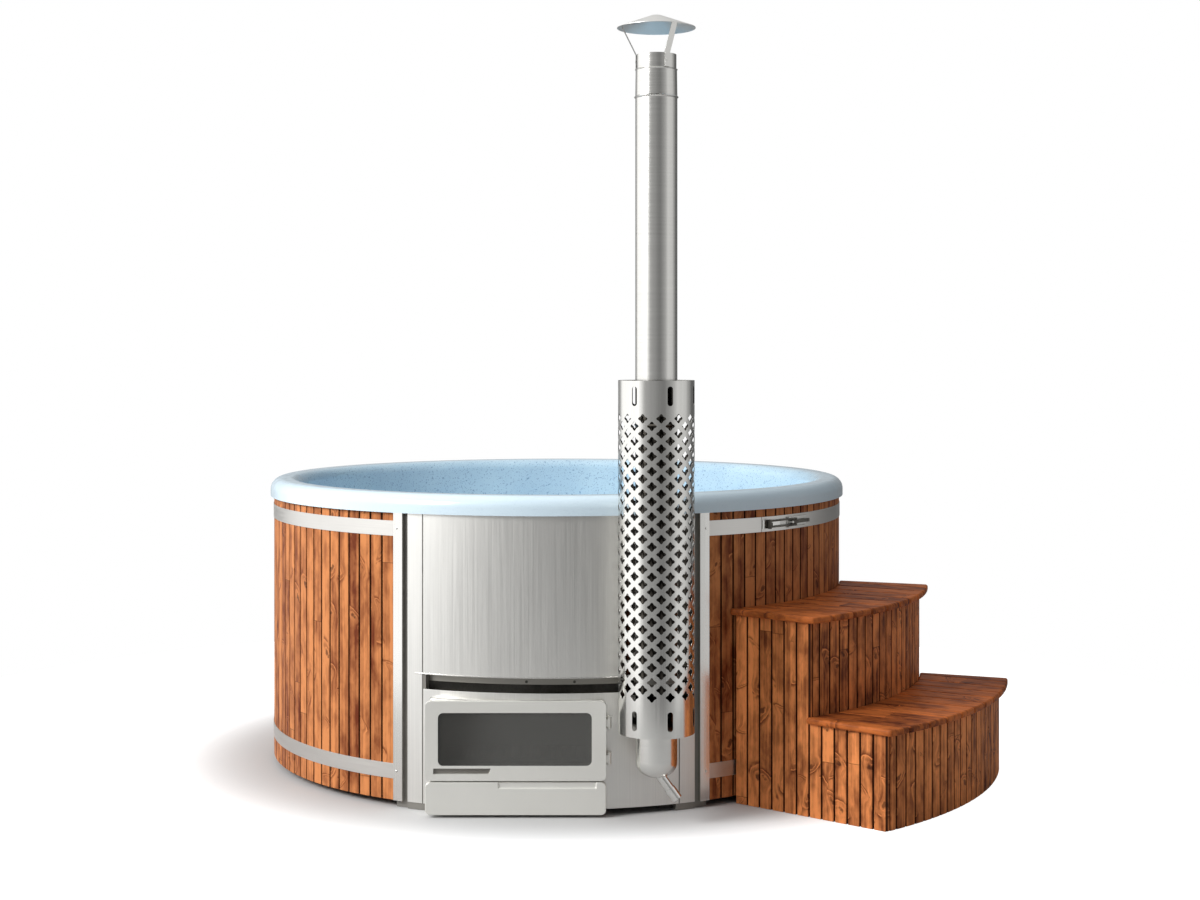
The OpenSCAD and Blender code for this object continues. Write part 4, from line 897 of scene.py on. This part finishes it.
class PerforateShield(bpy.types.Operator):
    """Model the perforated shield: one hole with its share of sheet, repeated and rolled to a tube"""

    bl_idname = "hot_tub.perforate_shield"
    bl_label = "Heat shield"

    columns, rows = 26, 38
    top_band = 106 * MM
    # degrees from the +X of the shield to its first column, and how far its place on the tub turns it
    first_hole = 10.0
    local_turn = math.degrees(math.atan2(CHIMNEY_FOOT[0], -CHIMNEY_FOOT[1]))

    # a hole's corners, their shares of its reach by the angle from a lobe's tip, and its height to width
    corners = 24
    lobe_shares = ((15, 0.87), (30, 0.73), (45, 0.64))
    angle_slack = 2
    hole_flat = 0.94
    # where the corners of a lozenge's edge lie along it
    edge_shares = (0.0, 0.2, 0.37, 0.5, 0.63, 0.8, 1.0)

    # the long slots, with their distances from the shield's ends
    vent_columns = (7, 11, 15, 19, 23, 27)
    vent_w, vent_h = 16.5 * MM, 55 * MM
    low_margin, top_margin = 20 * MM, 16 * MM
    vent_rounding = 0.98

    # the way for the flue: half its width, and the height of its middle
    flue_reach, flue_z = 64 * MM, 290 * MM

    hit = 0.01 * MM
    weld = 0.02 * MM

    def execute(self, context):
        sizes = context.scene.hot_tub_sizes
        radius = sizes.shield_radius
        half_w = 2 * math.pi * radius / self.columns
        half_h = sizes.row_pitch
        sheet = self.hole_cell(sizes.hole_radius, half_w, half_h)
        repeated(sheet, self.columns // 2, (2 * half_w, 0, 0))
        sheet = joined([sheet, copied(sheet, Matrix.Translation((half_w, -half_h, 0)))])
        repeated(sheet, self.rows // 2, (0, -2 * half_h, 0))
        open_welded(sheet, self.weld)
        self.plain_band(sheet, half_w, half_h, 0, 1, self.top_band)
        length = sizes.shield_top - sizes.shield_bottom
        self.plain_band(sheet, half_w, half_h, 1 - self.rows, -1, self.top_band - length)
        bpy.ops.object.mode_set(mode="OBJECT")
        start = math.radians(self.local_turn + self.first_hole)
        for corner in sheet.data.vertices:
            turn = start + corner.co.x / radius
            height = sizes.shield_top - self.top_band + corner.co.y
            corner.co = (radius * math.cos(turn), radius * math.sin(turn), height)
        open_welded(sheet, self.weld)
        bpy.ops.mesh.normals_make_consistent(inside=False)
        bpy.ops.object.mode_set(mode="OBJECT")
        side = max(sheet.data.polygons, key=lambda p: p.area)
        if side.normal.dot(Vector((side.center.x, side.center.y, 0))) < 0:
            sheet.data.flip_normals()
        apply_modifier(sheet, "SOLIDIFY", thickness=sizes.shield_wall, offset=-1.0)
        cut_away(sheet, self.openings(sizes))
        self.shade_round(sheet)
        sheet.data.transform(Matrix.Translation(CHIMNEY_FOOT))
        sheet.name = sheet.data.name = "heat_shield.shown"
        dress(sheet, "bright_steel")
        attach(sheet, "tub")
        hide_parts("heat_shield")
        return {"FINISHED"}

    def hole_cell(self, hole, half_w, half_h):
        """A four-lobed hole in a flat lozenge, whose edge corners meet those of the next lozenges."""
        select_none()
        bpy.ops.mesh.primitive_circle_add(vertices=self.corners, radius=hole, fill_type="NOTHING")
        cell = bpy.context.object
        bpy.ops.object.mode_set(mode="EDIT")
        for turn, share in self.lobe_shares:
            choose(cell, lambda corner: abs(self.off_lobe(corner) - turn) < self.angle_slack)
            bpy.ops.transform.resize(value=(share, share, 1), center_override=(0, 0, 0))
        bpy.ops.mesh.select_all(action="SELECT")
        bpy.ops.transform.resize(value=(1, self.hole_flat, 1), center_override=(0, 0, 0))
        bpy.ops.mesh.extrude_edges_move()
        bpy.ops.object.mode_set(mode="OBJECT")
        quarter = self.corners // 4
        for corner in list(cell.data.vertices)[self.corners:]:
            turn = math.atan2(corner.co.y, corner.co.x) % (2 * math.pi) / (math.pi / 2)
            share = self.edge_shares[round((turn % 1) * quarter)]
            at = math.radians(90 * int(turn))
            near, far = Vector((math.cos(at), math.sin(at))), Vector((-math.sin(at), math.cos(at)))
            spot = near.lerp(far, share)
            corner.co = (spot.x * half_w, spot.y * half_h, 0)
        return cell

    @staticmethod
    def off_lobe(corner):
        """How many degrees a corner lies off the tip of the nearest lobe."""
        turn = math.degrees(math.atan2(corner.co.y, corner.co.x)) % 90
        return min(turn, 90 - turn)

    def plain_band(self, sheet, half_w, half_h, row, side, reach):
        """Continues the sheet without holes from its first or last row to a straight edge."""
        def on_border(corner):
            off = abs((corner.co.x / half_w + 1 - row % 2) % 2 - 1)
            return abs(corner.co.y - half_h * (row + side * (1 - off))) < self.hit

        choose(sheet, on_border)
        bpy.ops.mesh.extrude_edges_move()
        bpy.ops.transform.resize(value=(1, 0, 1), center_override=(0, reach, 0))

    @staticmethod
    def shade_round(sheet):
        """Shades both faces of the sheet as a true cylinder, and the cut edges flat."""
        on_face = 0.96
        mesh = sheet.data
        mesh.polygons.foreach_set("use_smooth", [True] * len(mesh.polygons))
        looks = [None] * len(mesh.loops)
        for face in mesh.polygons:
            for k in face.loop_indices:
                spot = mesh.vertices[mesh.loops[k].vertex_index].co
                out = Vector((spot.x, spot.y, 0)).normalized()
                share = out.dot(face.normal)
                looks[k] = out * math.copysign(1, share) if abs(share) > on_face else face.normal.copy()
        mesh.normals_split_custom_set(looks)

    def openings(self, sizes):
        """The twelve long slots and the way for the flue, as one cutter."""
        select_none()
        radius = sizes.shield_radius
        through = 40 * MM
        bpy.ops.mesh.primitive_cube_add(
            size=1, location=(radius, 0, 0), scale=(through, self.vent_w, self.vent_h)
        )
        slot = bpy.context.object
        settle(slot)
        bpy.ops.object.mode_set(mode="EDIT")
        bpy.ops.mesh.select_all(action="DESELECT")
        bpy.ops.object.mode_set(mode="OBJECT")
        for e in slot.data.edges:
            a, b = (slot.data.vertices[v].co for v in e.vertices)
            e.select = abs(a.x - b.x) > through / 2
        bpy.ops.object.mode_set(mode="EDIT")
        bpy.ops.mesh.select_mode(type="EDGE")
        bpy.ops.mesh.bevel(offset=self.vent_rounding * self.vent_w / 2, segments=6, affect="EDGES")
        bpy.ops.mesh.select_mode(type="VERT")
        bpy.ops.object.mode_set(mode="OBJECT")
        pitch = 360 / self.columns
        turns = [math.radians(self.local_turn + self.first_hole + k * pitch) for k in self.vent_columns]
        low_row = sizes.shield_bottom + self.low_margin + self.vent_h / 2
        top_row = sizes.shield_top - self.top_margin - self.vent_h / 2
        cutters = [
            copied(slot, Matrix.Translation((0, 0, middle)) @ Matrix.Rotation(turn, 4, "Z"))
            for middle in (low_row, top_row)
            for turn in turns
        ]
        bpy.data.objects.remove(slot)
        select_none()
        top = self.flue_z + self.flue_reach
        bpy.ops.mesh.primitive_cube_add(
            size=1, location=(0, radius, top / 2), scale=(2 * self.flue_reach, 1.2 * radius, top)
        )
        flue = bpy.context.object
        settle(flue)
        flue.data.transform(Matrix.Rotation(math.radians(self.local_turn), 4, "Z"))
        return joined([flue] + cutters)


class FitLatch(bpy.types.Operator):
    """Finish the tension latch on the upper band"""

    bl_idname = "hot_tub.fit_latch"
    bl_label = "Latch"

    def execute(self, context):
        for node in ("latch_pivot", "latch_lever", "latch_bail"):
            refined(node, FITTING_EDGE, finish="latch_steel")
        for node in ("latch_keeper", "latch_base"):
            refined(node, FITTING_EDGE)
        return {"FINISHED"}


class SetStage(bpy.types.Operator):
    """Set the camera, the pale floor, the soft lights and the surroundings"""

    bl_idname = "hot_tub.set_stage"
    bl_label = "Stage"

    # what a mirror at the tub sees level with it: degrees from the camera, to the right, and brightness
    surroundings = (
        (-180, 0.25), (-150, 0.25), (-138, 0.4), (-126, 0.95), (-110, 1.0), (-56, 1.0), (-46, 0.65),
        (-37, 0.32), (-10, 0.25), (8, 0.18), (20, 0.16), (35, 0.24), (50, 0.34), (65, 0.55), (95, 0.5),
        (112, 0.28), (130, 0.1), (150, 0.1), (180, 0.25),
    )

    # the camera that was fitted to the photograph
    eye_place = (0.1442, -6.4024, 1.3529)
    lens, sensor, shift, sight = 56.44, 36, -0.0833, 200

    # the pale floor, which fades to white on its way outwards; without the glow near the tub it stays grey
    # there, a painted shade round the tub
    floor_radius, floor_drop = 2.7, 0.5 * MM
    fade_from, fade_to = 0.96, 1.5

    # lamps: name, place, size in metres and watts, all turned to one spot
    lamps = (("Key", (-4.9, -3.7, 4.0), 2.6, 370), ("Overhead", (-1.0, 0.0, 6.5), 5.0, 50))
    lit_spot = Vector((0.1, 0, 0.5))

    # the tones overhead at the left and the right, and how bright all surroundings are
    over_left, over_right = (0.85, 0.85, 0.85, 1), (0.42, 0.43, 0.44, 1)
    strength, more_for_mirrors = 0.76, 0.6
    white = (1, 1, 1, 1)

    def execute(self, context):
        scene = context.scene
        camera = bpy.data.cameras.new("Front view")
        camera.lens = self.lens
        camera.sensor_width = self.sensor
        camera.shift_y = self.shift
        camera.clip_end = self.sight
        eye = bpy.data.objects.new("Front view", camera)
        eye.location = self.eye_place
        eye.rotation_euler = (math.radians(90), 0, 0)
        scene.collection.objects.link(eye)
        scene.camera = eye
        scene.view_settings.view_transform = "Standard"
        self.lay_floor()
        for lamp in self.lamps:
            self.hang_lamp(scene, *lamp)
        self.surround(scene)
        return {"FINISHED"}

    def lay_floor(self):
        select_none()
        bpy.ops.mesh.primitive_circle_add(
            vertices=96, radius=self.floor_radius, fill_type="NGON", location=(0, 0, -self.floor_drop)
        )
        floor = bpy.context.object
        floor.name = "Floor"
        material, tree, body = blank("Pale floor", Roughness=0.9)
        place = shader(tree, "TexCoord").outputs["Object"]
        got = placed(tree, "grit", {"Place": place, "Scale": 40.0, "Cloud": 0.4})
        shade = tint(tree, got["Cloud"], opaque((0.54, 0.54, 0.54)), opaque((0.56, 0.56, 0.56)))
        feed(tree, body, {"Base Color": shade})
        seen = shader(tree, "LightPath").outputs["Is Camera Ray"]
        # no glow near the tub: the floor there stays grey, painted shade round the tub
        away = spread(tree, off_axis(tree, place), self.fade_from, self.fade_to)
        glow = shader(tree, "Emission", {"Color": self.white, "Strength": product(tree, seen, away)})
        both = shader(tree, "AddShader", {0: body.outputs[0], 1: glow.outputs[0]})
        feed(tree, tree.nodes["Material Output"], {"Surface": both.outputs[0]})
        floor.data.materials.append(material)

    def hang_lamp(self, scene, name, place, size, watts):
        lamp = bpy.data.lights.new(name, "AREA")
        lamp.size = size
        lamp.energy = watts
        held = bpy.data.objects.new(name, lamp)
        held.location = place
        held.rotation_euler = (self.lit_spot - Vector(place)).to_track_quat("-Z", "Y").to_euler()
        scene.collection.objects.link(held)

    def surround(self, scene):
        world = bpy.data.worlds.new("Studio")
        scene.world = world
        world.use_nodes = True
        tree = world.node_tree
        tree.nodes.clear()
        way = shader(tree, "SeparateXYZ", {0: shader(tree, "TexCoord").outputs["Generated"]}).outputs
        turn = calc(tree, "ARCTAN2", way[0], product(tree, way[1], -1.0))
        share = calc(tree, "MULTIPLY_ADD", turn, 0.5 / math.pi, 0.5)
        level = shader(tree, "ValToRGB", {0: share})
        ramp = level.color_ramp
        ramp.interpolation = "EASE"
        (_, first), *between, (_, last) = self.surroundings
        ramp.elements[0].color = opaque((first, first, first))
        ramp.elements[1].color = opaque((last, last, last))
        for angle, value in between:
            ramp.elements.new((angle + 180) / 360).color = opaque((value, value, value))
        above = spread(tree, way[2], 0.35, 0.8)
        left = spread(tree, way[0], 0.8, -0.8)
        overhead = tint(tree, left, self.over_right, self.over_left)
        room = tint(tree, above, level.outputs["Color"], overhead)
        path = shader(tree, "LightPath").outputs
        strength = calc(tree, "MULTIPLY_ADD", path["Is Glossy Ray"], self.more_for_mirrors, self.strength)
        lit = shader(tree, "Background", {"Color": room, "Strength": strength})
        seen = shader(tree, "Background", {"Color": self.white, "Strength": 1.0})
        both = shader(tree, "MixShader", {0: path["Is Camera Ray"], 1: lit.outputs[0], 2: seen.outputs[0]})
        shader(tree, "OutputWorld", {"Surface": both.outputs[0]})


PIECES = (
    CladWall, BuildStairs, MouldShell, FitBands, FitFrontPanel, BuildStove, HangFireDoor,
    FitAshDrawer, RaiseChimney, PerforateShield, FitLatch, SetStage,
)


class HotTubPanel(bpy.types.Panel):
    """Colours, sizes and steps of the hot tub"""

    bl_idname = "VIEW3D_PT_hot_tub"
    bl_label = "Hot tub"
    bl_space_type = "VIEW_3D"
    bl_region_type = "UI"
    bl_category = "Hot tub"

    def draw(self, context):
        scene = context.scene
        for settings in (scene.hot_tub_finishes, scene.hot_tub_sizes):
            box = self.layout.box()
            for name in settings.__annotations__:
                box.prop(settings, name)
        for piece in PIECES:
            self.layout.operator(piece.bl_idname)


CLASSES = (HotTubFinishes, HotTubSizes, *PIECES, HotTubPanel)


def register():
    for made in CLASSES:
        bpy.utils.register_class(made)
    bpy.types.Scene.hot_tub_finishes = bpy.props.PointerProperty(type=HotTubFinishes)
    bpy.types.Scene.hot_tub_sizes = bpy.props.PointerProperty(type=HotTubSizes)


def unregister():
    del bpy.types.Scene.hot_tub_sizes
    del bpy.types.Scene.hot_tub_finishes
    for made in reversed(CLASSES):
        bpy.utils.unregister_class(made)


def main():
    register()
    for piece in PIECES:
        group, name = piece.bl_idname.split(".")
        getattr(getattr(bpy.ops, group), name)()
    bpy.context.view_layer.update()


if __name__ == "__main__":
    main()
